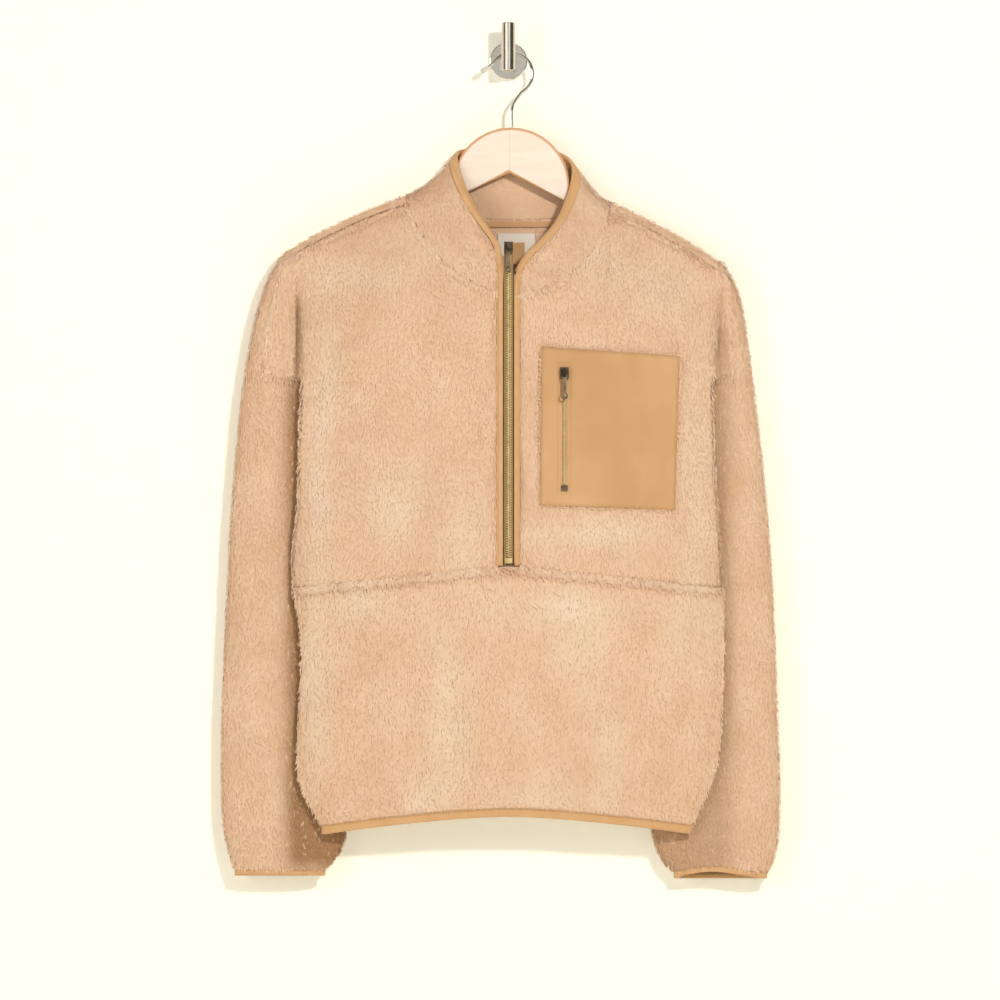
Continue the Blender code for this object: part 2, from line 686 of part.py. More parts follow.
def back():
    """The back, from the hem over the shoulders to the forward seams."""
    cloth = Cloth()
    main_count = BACK_NECK_COLUMNS + SHOULDER_COLUMNS
    hem_keys = []
    for side in SIDES:
        sign = side.sign
        loop = {label: (angle, z) for label, angle, z in armhole_loop(side)}
        notch_x = side.ring(NOTCH_ANGLE, UNDERARM, SEAM_GAP)[0]
        end = side.edge(side.shoulder_point)
        tops = [NECK_HALF_WIDTH * t for t in spread(BACK_NECK_COLUMNS)]
        tops += [mix(NECK_HALF_WIDTH, end, t) for t in spread(SHOULDER_COLUMNS)[1:]]
        neck_side_z = side.shoulder(NECK_HALF_WIDTH) - SHOULDER_DROP
        for j, top_x in enumerate(tops):
            for i in range(LOWER_ROWS + HEM_ROWS + SEAM_ROWS + 1):
                r = i - LOWER_ROWS - HEM_ROWS
                if r <= 0:
                    gap = 0.0
                    t = 1 + r / (LOWER_ROWS + HEM_ROWS)
                    for _ in range(2):
                        level = mix(hem(notch_x * j / main_count), UNDERARM, t)
                        gap = back_gap(level)
                        edge_x, edge_y, _ = side.ring(NOTCH_ANGLE, level, gap)
                    z, x = level, edge_x * j / main_count
                else:
                    top_z = side.shoulder(top_x) - SHOULDER_DROP
                    if j < BACK_NECK_COLUMNS:
                        top_z = mix(BACK_NECK_Z, neck_side_z, back_neck(top_x))
                    z = mix(UNDERARM, top_z, r / SEAM_ROWS)
                    x = mix(notch_x * j / main_count, top_x, smoothstep(0.0, 1.0, r / SEAM_ROWS))
                    edge_x, edge_y, _ = side.ring(NOTCH_ANGLE, UNDERARM, SEAM_GAP)
                    edge_y = mix(edge_y, BACK_Y, smoothstep(UNDERARM, UNDERARM + 45.0, z))
                dip = (edge_y - BACK_Y) * smoothstep(edge_x - 38.0, edge_x, x)
                outer = (x, BACK_Y + dip, z)
                inner = (x, BACK_Y + dip - WALL, z)
                if r <= 0 and j == main_count:
                    inner = (x - 5.0, BACK_Y + dip - 3.0, z)
                if r == SEAM_ROWS and j >= BACK_NECK_COLUMNS:
                    outer, inner = arch_point(side, top_x, -1.0)
                cloth.point((i, sign * j), side.place(outer), side.place(inner))
            if j >= BACK_NECK_COLUMNS:
                for r in range(1, 2 * OVER_ROWS + 1):
                    i = LOWER_ROWS + HEM_ROWS + SEAM_ROWS + r
                    outer, inner = arch_point(side, top_x, r / OVER_ROWS - 1.0)
                    cloth.point((i, sign * j), side.place(outer), side.place(inner))
        body_rows = LOWER_ROWS + HEM_ROWS
        wrap = list(range(CROTCH_COLUMNS - 1, 0, -1))
        for i in range(body_rows + 1):
            keys = [(i, sign * main_count)]
            for n, c in enumerate(wrap + ["ring", "round", "edge"]):
                key = (i, sign * (main_count + 1 + n), "wrap")
                z = UNDERARM
                for _ in range(3 if i < body_rows else 1):
                    gap = back_gap(z)
                    base = side.angle_at(side.edge(z) + 2.0, z)
                    if isinstance(c, int):
                        angle = mix(base, NOTCH_ANGLE, c / CROTCH_COLUMNS)
                        outer, inner = side.ring(angle, z, gap), side.ring(angle, z, gap + WALL)
                    elif c == "ring":
                        angle = side.angle_at(side.edge(z) - 5.0, z)
                        outer, inner = side.ring(angle, z, gap), side.ring(angle, z, gap + WALL)
                        inner = (outer[0] - 2.5, inner[1], z)
                    elif c == "round":
                        outer = (side.edge(z) - 1.2, EDGE_Y + 0.62 * EDGE_HALF, z)
                        inner = (side.edge(z) - WALL - 0.6, EDGE_Y + 0.9, z)
                    else:
                        outer = (side.edge(z), EDGE_Y + SEAM_GAP, z)
                        inner = (side.edge(z) - WALL, EDGE_Y + SEAM_GAP, z)
                    if i < body_rows:
                        z = mix(hem(outer[0]), UNDERARM, i / body_rows)
                cloth.point(key, side.place(outer), side.place(inner))
                keys.append(key)
            if i:
                for a, b, c, d in zip(below, below[1:], keys[1:], keys):
                    cloth.quad(a, b, c, d)
            below = keys
            if i == 0:
                hem_keys.append(keys)
        last = LOWER_ROWS + HEM_ROWS + SEAM_ROWS + 2 * OVER_ROWS
        for i in range(body_rows, last + 1):
            r = i - body_rows
            edge_key = (i, sign * main_count)
            edge_outer = side.place(cloth.outer[cloth.keys[edge_key]])
            edge_inner = side.place(cloth.inner[cloth.keys[edge_key]])
            if r == 0:
                label = ("tuck", TUCK_COLUMNS)
            elif r <= SEAM_ROWS:
                label = ("back", r)
            elif r < SEAM_ROWS + 2 * OVER_ROWS:
                label = ("over", r - SEAM_ROWS)
            else:
                label = ("front", SEAM_ROWS)
            seam_angle, seam_z = loop[label]
            for c in range(1, TUCK_COLUMNS + 1):
                t = c / TUCK_COLUMNS
                key = (i, sign * (main_count + c), "arm")
                if r == 0:
                    angle, z = loop[("tuck", c)]
                    outer, inner = side.ring(angle, z), side.inner_ring(angle, z)
                elif r < SEAM_ROWS:
                    z = mix(edge_outer[2], seam_z, t)
                    start = 2 * math.pi - side.angle_at(edge_outer[0], z)
                    angle = mix(start, seam_angle, t)
                    outer, inner = side.ring(angle, z), side.inner_ring(angle, z)
                    flat = smoothstep(UNDERARM, UNDERARM + 45.0, z)
                    flat *= smoothstep(-0.05, -0.6, math.cos(angle))
                    outer = (outer[0], mix(outer[1], BACK_Y, flat), z)
                    inner = (inner[0], mix(inner[1], BACK_Y - WALL, flat), z)
                else:
                    outer, inner = side.ring(seam_angle, seam_z), side.inner_ring(seam_angle, seam_z)
                    outer = tuple(mix(a, b, t) for a, b in zip(edge_outer, outer))
                    inner = tuple(mix(a, b, t) for a, b in zip(edge_inner, inner))
                cloth.point(key, side.place(outer), side.place(inner))
        for i in range(body_rows, last):
            row = [(i, sign * main_count)]
            row += [(i, sign * (main_count + c), "arm") for c in range(1, TUCK_COLUMNS + 1)]
            above = [(i + 1,) + key[1:] for key in row]
            for a, b, c, d in zip(row, row[1:], above[1:], above):
                cloth.quad(a, b, c, d)
        for i in range(last):
            first = 0 if i < body_rows + SEAM_ROWS else BACK_NECK_COLUMNS
            for j in range(first, main_count):
                cloth.quad((i, sign * j), (i, sign * (j + 1)), (i + 1, sign * (j + 1)), (i + 1, sign * j))
    middle = [(0, j) for j in range(-main_count + 1, main_count)]
    return cloth, list(reversed(hem_keys[0])) + middle + hem_keys[1]


def neck_normal(x, y):
    """A step of one wall's thickness towards the middle of the neck."""
    dx, dy = -x / NECK_HALF_WIDTH, (HANG_Y - y) / 45.0
    length = math.hypot(dx, dy)
    return WALL * dx / length, WALL * dy / length


def collar_columns(side):
    """Base points of the collar on one side, from the zip to the middle of the back."""
    base = []
    for x in top_columns(side)[:NECK_COLUMNS + 1]:
        z, y, _ = front_top(side, x)
        lean = min(x / NECK_HALF_WIDTH, 1.0)
        base.append((x - 2.2 * SEAM_GAP * lean, y, z + SEAM_GAP))
    for t in (0.4, 0.0, -0.4, -1.0):
        x, y, z = arch_point(side, NECK_HALF_WIDTH, t)[0]
        base.append((x - SEAM_GAP, y, z))
    neck_side_z = side.shoulder(NECK_HALF_WIDTH) - SHOULDER_DROP
    for t in reversed(spread(BACK_NECK_COLUMNS)[:-1]):
        x = NECK_HALF_WIDTH * t
        base.append((x, BACK_Y, mix(BACK_NECK_Z, neck_side_z, back_neck(x)) + SEAM_GAP))
    return base


def collar():
    """The standing collar, open at the zip."""
    cloth = Cloth()
    counts = []
    for side in SIDES:
        base = collar_columns(side)
        lengths = [0.0]
        for a, b in zip(base, base[1:]):
            lengths.append(lengths[-1] + math.dist(a, b))
        counts.append(len(base) - 1)
        for j, foot in enumerate(base):
            top = along(side.collar_top, lengths[j] / lengths[-1])
            key_j = side.sign * (len(base) - 1 - j)
            for i in range(COLLAR_ROWS + 1):
                point = tuple(mix(a, b, i / COLLAR_ROWS) for a, b in zip(foot, top))
                dx, dy = neck_normal(point[0], point[1])
                inner_x = max(point[0] + dx, 0.0) if j else point[0]
                inner = (inner_x, point[1] + (dy if j else WALL), point[2])
                cloth.point((i, key_j), side.place(point), side.place(inner))
    for i in range(COLLAR_ROWS):
        for j in range(-counts[0], counts[1]):
            cloth.quad((i, j), (i, j + 1), (i + 1, j + 1), (i + 1, j))
    return cloth, counts


def pair(cloth, key):
    n = cloth.keys[key]
    return cloth.outer[n], cloth.inner[n]


def band(pairs, directions, width, closed=False, shrink=1.0, gap=SEAM_GAP):
    """A binding: a wall that goes on from a row of outer and inner points."""
    cloth = Cloth()
    for j, ((outer, inner), direction) in enumerate(zip(pairs, directions)):
        for i, reach in enumerate((gap, width / 2, width)):
            a = [p + d * reach for p, d in zip(outer, direction)]
            b = [p + d * reach for p, d in zip(inner, direction)]
            if i == 2 and shrink < 1.0:
                a, b = [[mix(q, p, shrink) for p, q in zip(u, v)] for u, v in ((a, b), (b, a))]
            cloth.point((i, j), tuple(a), tuple(b))
    count = len(pairs)
    for j in range(count if closed else count - 1):
        k = (j + 1) % count
        for i in range(2):
            cloth.quad((i, j), (i, k), (i + 1, k), (i + 1, j))
    return cloth


def unit(a, b):
    length = math.dist(a, b)
    return tuple((q - p) / length for p, q in zip(a, b))


def collar_band(cloth, counts):
    """The binding along the collar's top edge, square to that edge."""
    keys = [(COLLAR_ROWS, j) for j in range(-counts[0], counts[1] + 1)]
    pairs = [pair(cloth, key) for key in keys]
    tops = [outer for outer, _ in pairs]
    directions = []
    for n, (row, column) in enumerate(keys):
        tangent = unit(tops[max(n - 1, 0)], tops[min(n + 1, len(tops) - 1)])
        rise = unit(pair(cloth, (row - 1, column))[0], tops[n])
        lean = sum(a * b for a, b in zip(rise, tangent))
        directions.append(unit((0.0, 0.0, 0.0), [a - lean * b for a, b in zip(rise, tangent)]))
    return band(pairs, directions, BINDING, shrink=0.85, gap=2 * SEAM_GAP)


def placket_band(side, front, collar_cloth, counts):
    """The binding beside the zip, up the front's edge and the collar's."""
    pairs = [pair(front, (i, 0)) for i in range(LOWER_ROWS + SEAM_ROWS + 1)]
    column = -counts[0] if side.sign < 0 else counts[1]
    pairs += [pair(collar_cloth, (i, column)) for i in range(1, COLLAR_ROWS + 1)]
    last = [tuple(mix(a, b, PLACKET_SHARE) for a, b in zip(u, v)) for u, v in zip(pairs[-2], pairs[-1])]
    pairs[-1] = tuple(last)
    directions = [(-side.sign, 0.0, 0.0)] * len(pairs)
    return band(pairs, directions, BINDING, shrink=0.85), pairs


def strip(path, half_width, front, thickness, x=0.0):
    """A flat strip along a path of (y, z) points, which stands in front of the path."""
    cloth = Cloth()
    for i, (y, z) in enumerate(path):
        for j, edge_x in enumerate((x - half_width, x + half_width)):
            cloth.point((i, j), (edge_x, y - front - thickness, z), (edge_x, y - front, z))
    for i in range(len(path) - 1):
        cloth.quad((i, 0), (i, 1), (i + 1, 1), (i + 1, 0))
    return cloth


def back_inside(name, x_low, x_high, z_low, z_high, front, thickness, colour):
    """A flat piece on the inside of the back."""
    cloth = Cloth()
    surface = BACK_Y - WALL - front
    for i, z in enumerate((z_low, z_high)):
        for j, x in enumerate((x_low, x_high)):
            cloth.point((i, j), (x, surface - thickness, z), (x, surface, z))
    cloth.quad((0, 0), (0, 1), (1, 1), (1, 0))
    return cloth.build(name, colour, 0.7)


def pocket(side):
    """The patch, from the points of the front moved out, and a function for its own surface."""
    cloth = Cloth()
    count = 8
    for i in range(count + 1):
        for j in range(count + 1):
            u, v = j / count, i / count
            inner_edge = [mix(a, b, v) for a, b in zip(POCKET["bottom_inner"], POCKET["top_inner"])]
            outer_edge = [mix(a, b, v) for a, b in zip(POCKET["bottom_outer"], POCKET["top_outer"])]
            x, z = mix(inner_edge[0], outer_edge[0], u), mix(inner_edge[1], outer_edge[1], u)
            y = front_surface(side, x, z)[0] - SEAM_GAP
            cloth.point((i, j), (x, y - POCKET_CLOTH, z), (x, y, z))
    for i in range(count):
        for j in range(count):
            cloth.quad((i, j), (i, j + 1), (i + 1, j + 1), (i + 1, j))
    cloth.build("pocket_patch", BINDING_TAN, 0.8)


def box_mesh(mesh, low, high):
    """Adds a box to a bmesh, between two corners in millimetres."""
    made = bmesh.ops.create_cube(mesh, size=1.0)["verts"]
    for vert in made:
        vert.co = [(mix(a, b, c + 0.5)) * MM for a, b, c in zip(low, high, vert.co)]
    return made


# Slider: half width, back and front in front of the chain, height below and above the pull's axis
SLIDER_BODY = (4.4, 0.0, 2.4, 6.6, 5.0)
SLIDER_BRIDGE = (1.1, 2.2, 6.3, 3.2, 3.2)
SLIDER_EYE = (3.0, 2.4, 5.2, 1.6, 1.6)


def slider_box(name, x, y, z, size):
    half_width, rear, front, below, above = size
    mesh = bmesh.new()
    box_mesh(mesh, (x - half_width, y - front, z - below), (x + half_width, y - rear, z + above))
    return finish(mesh, name, BRONZE, 0.35, 0.9)


def slider(name, x, y, z):
    """A zip slider with its bridge. y is the surface that it rides on, z the axis of its pull."""
    base = slider_box(name, x, y, z, SLIDER_BODY)
    joined = slider_box(name + "_bridge", x, y, z, SLIDER_BRIDGE)
    hole = slider_box(name + "_eye", x, y, z, SLIDER_EYE)
    cut = joined.modifiers.new("eye", "BOOLEAN")
    cut.operation, cut.object = "DIFFERENCE", hole
    union = base.modifiers.new("bridge", "BOOLEAN")
    union.operation, union.object = "UNION", joined
    for guide in (joined, hole):
        PARTS.objects.unlink(guide)
        CUTTERS.objects.link(guide)
        guide.hide_render = True
        guide.display_type = "WIRE"


# Pull: the head that holds its cross bar, then the stem, the ring and the ring's hole
PULL_HALF_THICK = 0.75
PULL_HEAD = 2.9
PULL_HEAD_END = -5.6
PULL_NECK_END = -7.6
PULL_STEM = 1.7
PULL_EYE = 1.75
PULL_EYE_END = -4.8
PULL_RING = 3.6
PULL_HOLE = 1.9


def pull(name, x, y, z, length):
    """A zip pull that hangs from a bridge: a cross bar, two arms, a bar and a ring, about the axis."""
    centre = PULL_RING - length
    ring_top = centre + 2.8
    outline = [(-PULL_HEAD, PULL_HALF_THICK), (PULL_HEAD, PULL_HALF_THICK), (PULL_HEAD, PULL_HEAD_END)]
    outline += [(PULL_STEM, PULL_NECK_END), (PULL_STEM, ring_top)]
    steps = 10
    for n in range(steps + 1):
        angle = math.radians(mix(45, -225, n / steps))
        outline.append((PULL_RING * math.cos(angle), centre + PULL_RING * math.sin(angle)))
    outline += [(-PULL_STEM, ring_top), (-PULL_STEM, PULL_NECK_END), (-PULL_HEAD, PULL_HEAD_END)]
    eye = [(-PULL_EYE, -PULL_HALF_THICK), (PULL_EYE, -PULL_HALF_THICK)]
    eye += [(PULL_EYE, PULL_EYE_END), (-PULL_EYE, PULL_EYE_END)]
    turns = [2 * math.pi * n / steps for n in range(steps)]
    ring = [(PULL_HOLE * math.cos(turn), centre + PULL_HOLE * math.sin(turn)) for turn in turns]
    data = bpy.data.curves.new(name, "CURVE")
    data.dimensions, data.fill_mode, data.extrude = "2D", "BOTH", PULL_HALF_THICK * MM
    for loop in (outline, eye, ring):
        spline = data.splines.new("POLY")
        spline.points.add(len(loop) - 1)
        for point, (u, v) in zip(spline.points, loop):
            point.co = (u * MM, v * MM, 0.0, 1.0)
        spline.use_cyclic_u = True
    thing = bpy.data.objects.new(name, data)
    PARTS.objects.link(thing)
    paint(thing, BRONZE, 0.35, 0.9)
    thing.location = (x * MM, y * MM, z * MM)
    thing.rotation_euler = (math.radians(90.0) - PULL_TILT, 0.0, 0.0)


def fastener(prefix, x, surface, axis_z, length):
    """A slider and its pull. surface gives the depth of the chain's front at a height."""
    y = min(surface(axis_z - SLIDER_BODY[3]), surface(axis_z + SLIDER_BODY[4])) - SLIDER_CLEARANCE
    slider(prefix + "_slider", x, y, axis_z)
    pull(prefix + "_pull", x, y - 3.8, axis_z, length)


def block(name, low, high, colour, metallic=0.9):
    mesh = bmesh.new()
    box_mesh(mesh, low, high)
    finish(mesh, name, colour, 0.4, metallic)


ARM_END = 194.0

# Hook: x from its middle and z of its stem, then x and z of the clear tip from the wire's end
HOOK_STEM = ((0.0, WOOD_TOP + 0.4), (0.0, -50.0), (1.4, -44.5), (4.6, -39.0))
HOOK_TIP = ((-0.4, -0.3), (-7.4, -5.0))
HOOK_TIP_RADIUS = 2.6


def hanger():
    """The wooden hanger: a round head, a shallow V underneath and arms along the shoulders."""
    outline = []
    steps = 16
    for n in range(steps + 1):
        angle = math.radians(mix(2, 178, n / steps))
        z = WOOD_TOP - WOOD_RADIUS + WOOD_RADIUS * math.sin(angle)
        outline.append((WOOD_X + WOOD_RADIUS * math.cos(angle), z))
    arms = {}
    for side in SIDES:
        arm = [(side.sign * x, side.shoulder(x) - WALL - ARM_CLEARANCE) for x in ARM_POINTS]
        arm[0] = (arm[0][0], arm[0][1] - ARM_START_DROP)
        end_z = side.shoulder(ARM_END) - WALL - ARM_CLEARANCE - 1.0
        low_z = WOOD_UNDER - ARM_SLOPE[side.name] * ARM_END
        tip = ((0, end_z), (4, end_z - 5), (4, low_z + 3), (0, low_z))
        arms[side.name] = arm + [(side.sign * (ARM_END + x), z) for x, z in tip]
    outline = outline + arms["right"] + [(0.7, WOOD_UNDER)] + list(reversed(arms["left"]))
    data = bpy.data.curves.new("hanger_wood", "CURVE")
    data.dimensions, data.fill_mode, data.extrude = "2D", "BOTH", (WOOD_THICK / 2 - WOOD_EDGE) * MM
    data.bevel_depth, data.bevel_resolution, data.offset = WOOD_EDGE * MM, 1, -WOOD_EDGE * MM
    spline = data.splines.new("POLY")
    spline.points.add(len(outline) - 1)
    for point, (x, z) in zip(spline.points, outline):
        point.co = (x * MM, z * MM, 0.0, 1.0)
    spline.use_cyclic_u = True
    wood = bpy.data.objects.new("hanger_wood", data)
    PARTS.objects.link(wood)
    paint(wood, WOOD, 0.45)
    wood.location = (0.0, HANG_Y * MM, 0.0)
    wood.rotation_euler = (math.radians(90.0), 0.0, 0.0)


def wire(name, points, radius, colour, roughness, metallic=1.0):
    data = bpy.data.curves.new(name, "CURVE")
    data.dimensions, data.bevel_depth, data.bevel_resolution = "3D", radius * MM, 2
    data.use_fill_caps = True
    spline = data.splines.new("POLY")
    spline.points.add(len(points) - 1)
    for point, place in zip(spline.points, points):
        point.co = (*[c * MM for c in place], 1.0)
    thing = bpy.data.objects.new(name, data)
    PARTS.objects.link(thing)
    paint(thing, colour, roughness, metallic)
    return thing


def hook():
    """The hanger's wire hook and its clear tip."""
    cx, cz = HOOK_CENTRE
    points = [(cx + x, HANG_Y, z) for x, z in HOOK_STEM]
    steps = 22
    for n in range(steps + 1):
        angle = math.radians(mix(-62, 150, n / steps))
        points.append((cx + HOOK_RADIUS * math.cos(angle), HANG_Y, cz + HOOK_RADIUS * math.sin(angle)))
    last = points[-1]
    points.append((last[0] - 4.5, HANG_Y, last[2] - 4.0))
    wire("hanger_hook", points, HOOK_WIRE, CHROME, 0.15)
    end = points[-1]
    sleeve_line = [(end[0] + x, HANG_Y, end[2] + z) for x, z in HOOK_TIP]
    wire("hook_tip", sleeve_line, HOOK_TIP_RADIUS, CLEAR, 0.2, 0.0)


def turned(name, radius, low, high, axis, bevel, segments=40):
    """A cylinder with rounded edges along y or z."""
    bpy.ops.mesh.primitive_cylinder_add(vertices=segments, radius=radius * MM, depth=(high[1] - low) * MM)
    thing = bpy.context.object
    thing.name = thing.data.name = name
    for other in list(thing.users_collection):
        other.objects.unlink(thing)
    PARTS.objects.link(thing)
    middle = (high[1] + low) / 2
    if axis == "y":
        thing.rotation_euler = (math.radians(90.0), 0.0, 0.0)
        thing.location = (0.0, middle * MM, high[0] * MM)
    else:
        thing.location = (0.0, high[0] * MM, middle * MM)
    rounded = thing.modifiers.new("edges", "BEVEL")
    rounded.width, rounded.segments, rounded.limit_method = bevel * MM, 2, "ANGLE"
    thing.data.shade_smooth()
    paint(thing, NICKEL, 0.3, 1.0)
    return thing


def wall_hook():
    """The round plate on the wall, and the peg that the hanger's hook hangs behind."""
    turned("wall_plate", PLATE_RADIUS, -PLATE_THICK, (0.0, 0.0), "y", 1.0)
    peg = turned("wall_peg", PEG_RADIUS, PEG_BOTTOM, (PEG_Y, PEG_TOP), "z", 0.8, 32)
    stem = turned("stem", STEM_RADIUS, PEG_Y, (0.0, -PLATE_THICK - 0.3), "y", 0.0, 32)
    stem.modifiers.clear()
    PARTS.objects.unlink(stem)
    CUTTERS.objects.link(stem)
    stem.hide_render = True
    stem.display_type = "WIRE"
    union = peg.modifiers.new("stem", "BOOLEAN")
    union.operation, union.object = "UNION", stem


# Pieces inside the back neck: name, x from and to, z from and to, distance off the back, thickness
NECK_PIECES = (
    ("back_neck_tape", (-36.0, 46.0, -167.0, -160.6), 0.4, 1.0, BINDING_TAN),
    ("neck_label", (-10.5, 26.5, -196.0, -173.0), 0.4, 0.6, LABEL),
    ("size_tab", (4.2, 16.2, -204.0, -182.0), 1.4, 0.5, BINDING_TAN),
)


def down(count):
    return [(0.0, 0.0, -1.0)] * count


def main():
    left = SIDES[1]
    fronts = {side.name: upper_front(side) for side in SIDES}
    collar_cloth, counts = collar()
    edges = {}
    for side in SIDES:
        fronts[side.name].build("front_" + side.name, FLEECE)
        cloth, columns, strips = sleeve(side)
        for name, strip_cloth in strips.items():
            strip_cloth.build("sleeve_%s_%s" % (side.name, name), FLEECE)
        cuff = [pair(cloth, (len(SLEEVE_LEVELS) - 1, j)) for j in range(columns)]
        band(cuff, down(columns), CUFF_BINDING, True).build("cuff_binding_" + side.name, BINDING_TAN)
        binding, edges[side.name] = placket_band(side, fronts[side.name], collar_cloth, counts)
        binding.build("placket_binding_" + side.name, BINDING_TAN)
    front, front_keys = lower_front()
    front.build("front_lower", FLEECE)
    back_cloth, back_keys = back()
    back_cloth.build("back", FLEECE)
    around = [pair(front, key) for key in front_keys]
    around += [pair(back_cloth, key) for key in reversed(back_keys[1:-1])]
    band(around, down(len(around)), HEM_BINDING, True).build("hem_binding", BINDING_TAN)
    collar_cloth.build("collar", FLEECE)
    collar_band(collar_cloth, counts).build("collar_binding", BINDING_TAN)
    pocket(left)
    line = sorted((outer[2], outer[1]) for outer, _ in edges["right"])
    tape_front = CHAIN_THICK + 0.3  # behind the line of the fleece's surface

    def run(low, high):
        return [(table(line, z, 1), z) for z in [mix(low, high, t) for t in spread(28)]]

    strip(run(ZIP_END, ZIP_TOP), 4.4, -tape_front - TAPE_THICK, TAPE_THICK).build("zip_tape", BRASS)
    teeth = run(ZIP_END + ZIP_STOP + 0.4, ZIP_TOP)
    strip(teeth, CHAIN_WIDTH / 2, -CHAIN_THICK, CHAIN_THICK).build("zip_chain", BRASS)
    stop_y = table(line, ZIP_END, 1)
    block("zip_stop", (-3.6, stop_y - 0.4, ZIP_END + 0.3), (3.6, stop_y + 2.4, ZIP_END + ZIP_STOP), BRASS)
    fastener("zip", 0.0, lambda z: table(line, z, 1), ZIP_TOP - 2.0, 25.5)

    def patch_face(z):
        return front_surface(left, POCKET_ZIP_X, z)[0] - SEAM_GAP - POCKET_CLOTH - 0.3

    def patch_run(low, high):
        return [(patch_face(z), z) for z in [mix(low, high, t) for t in spread(8)]]

    teeth = patch_run(POCKET_ZIP_END + ZIP_STOP + 0.4, POCKET_ZIP_TOP)
    strip(teeth, 1.9, 0.0, POCKET_CHAIN, POCKET_ZIP_X).build("pocket_chain", BRASS)
    stop_y = patch_face(POCKET_ZIP_END + ZIP_STOP / 2)
    low = (POCKET_ZIP_X - 3.2, stop_y - 1.8, POCKET_ZIP_END)
    high = (POCKET_ZIP_X + 3.2, stop_y - 0.1, POCKET_ZIP_END + ZIP_STOP)
    block("pocket_stop", low, high, BRASS)
    fastener("pocket", POCKET_ZIP_X, lambda z: patch_face(z) - POCKET_CHAIN, POCKET_ZIP_TOP - 3.5, 27.5)
    for name, corners, front, thick, colour in NECK_PIECES:
        back_inside(name, *corners, front, thick, colour)
    hanger()
    hook()
    wall_hook()


for old in list(bpy.data.objects):
    bpy.data.objects.remove(old)
PARTS = bpy.data.collections.new("fleece_pullover")
CUTTERS = bpy.data.collections.new("cutters")
bpy.context.scene.collection.children.link(PARTS)
bpy.context.scene.collection.children.link(CUTTERS)
SIDES = (
    Side("right", -1, RIGHT_SLEEVE, COLLAR_TOP_RIGHT, 1),
    Side("left", 1, LEFT_SLEEVE, COLLAR_TOP_LEFT, 2),
)
main()
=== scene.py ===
# Looks of the fleece pullover on its wooden hanger: pile, folds, bindings, zips, wood and metal.
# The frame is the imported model. Lengths in tables are in millimetres, as in the model's own script:
# the wall is y = 0, the room is on the side of negative y, and z is up from the wall plate's middle.

import math

import bmesh
import bpy
import numpy as np
from mathutils import Matrix, Vector
from mathutils.bvhtree import BVHTree
from mathutils.kdtree import KDTree


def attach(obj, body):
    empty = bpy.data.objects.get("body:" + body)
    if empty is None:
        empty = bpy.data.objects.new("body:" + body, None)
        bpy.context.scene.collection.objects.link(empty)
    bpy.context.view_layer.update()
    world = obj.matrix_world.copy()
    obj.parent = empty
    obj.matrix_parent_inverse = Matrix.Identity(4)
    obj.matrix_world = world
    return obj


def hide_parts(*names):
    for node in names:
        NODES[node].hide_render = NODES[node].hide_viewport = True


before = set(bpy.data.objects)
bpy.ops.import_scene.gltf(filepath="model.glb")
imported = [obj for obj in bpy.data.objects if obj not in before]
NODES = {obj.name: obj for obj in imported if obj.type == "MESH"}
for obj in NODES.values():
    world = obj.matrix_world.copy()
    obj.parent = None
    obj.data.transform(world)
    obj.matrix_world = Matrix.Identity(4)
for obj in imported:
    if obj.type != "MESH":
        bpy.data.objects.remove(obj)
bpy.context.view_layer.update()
MM = 0.001
HANG_Y = -25.0  # the plane in which the sleeves hang
BODY = "garment"

# Fleece
PILE_OUT = 2.3  # pile outside the knitted backing
PILE_EDGE = 0.7  # pile outside the backing along a seam
PILE_IN = 1.2  # short pile on its inside
TUFT_LENGTH = 7.0
TUFT_WIDTH = 1.35
TUFT_SINK = 0.4  # how far a tuft's root is inside the backing
SEAM_REACH = 2.0  # half width of the brushed-up pile along a seam
SEAM_STEP = 0.0008  # metres between the tufts that bridge a seam
SEAM_NEAR = 0.0016  # metres, from one panel's edge to the next one's
SHARP = math.radians(55)  # between two faces of a panel's edge
CUT_REACH = 0.00048  # metres, between the strips of a sleeve

# Zip
TOOTH_PITCH = 2.5
TOOTH = (3.3, 1.7, 1.15)  # across, out and along
ZIP_ENDS = (-497.0, -186.0)  # heights of the lowest and highest teeth
POCKET_ZIP_X = 55.8
POCKET_ZIP_ENDS = (-424.5, -310.0)
POCKET_TOOTH_PITCH = 2.1
POCKET_TOOTH = (2.7, 1.3, 0.95)


def colour(code):
    """Linear values of an sRGB hex colour."""
    channels = [int(code[i:i + 2], 16) / 255 for i in (1, 3, 5)]
    return tuple(c / 12.92 if c < 0.04045 else ((c + 0.055) / 1.055) ** 2.4 for c in channels) + (1.0,)


def smoothstep(low, high, value):
    t = np.clip((value - low) / (high - low), 0.0, 1.0)
    return t * t * (3 - 2 * t)


# Materials

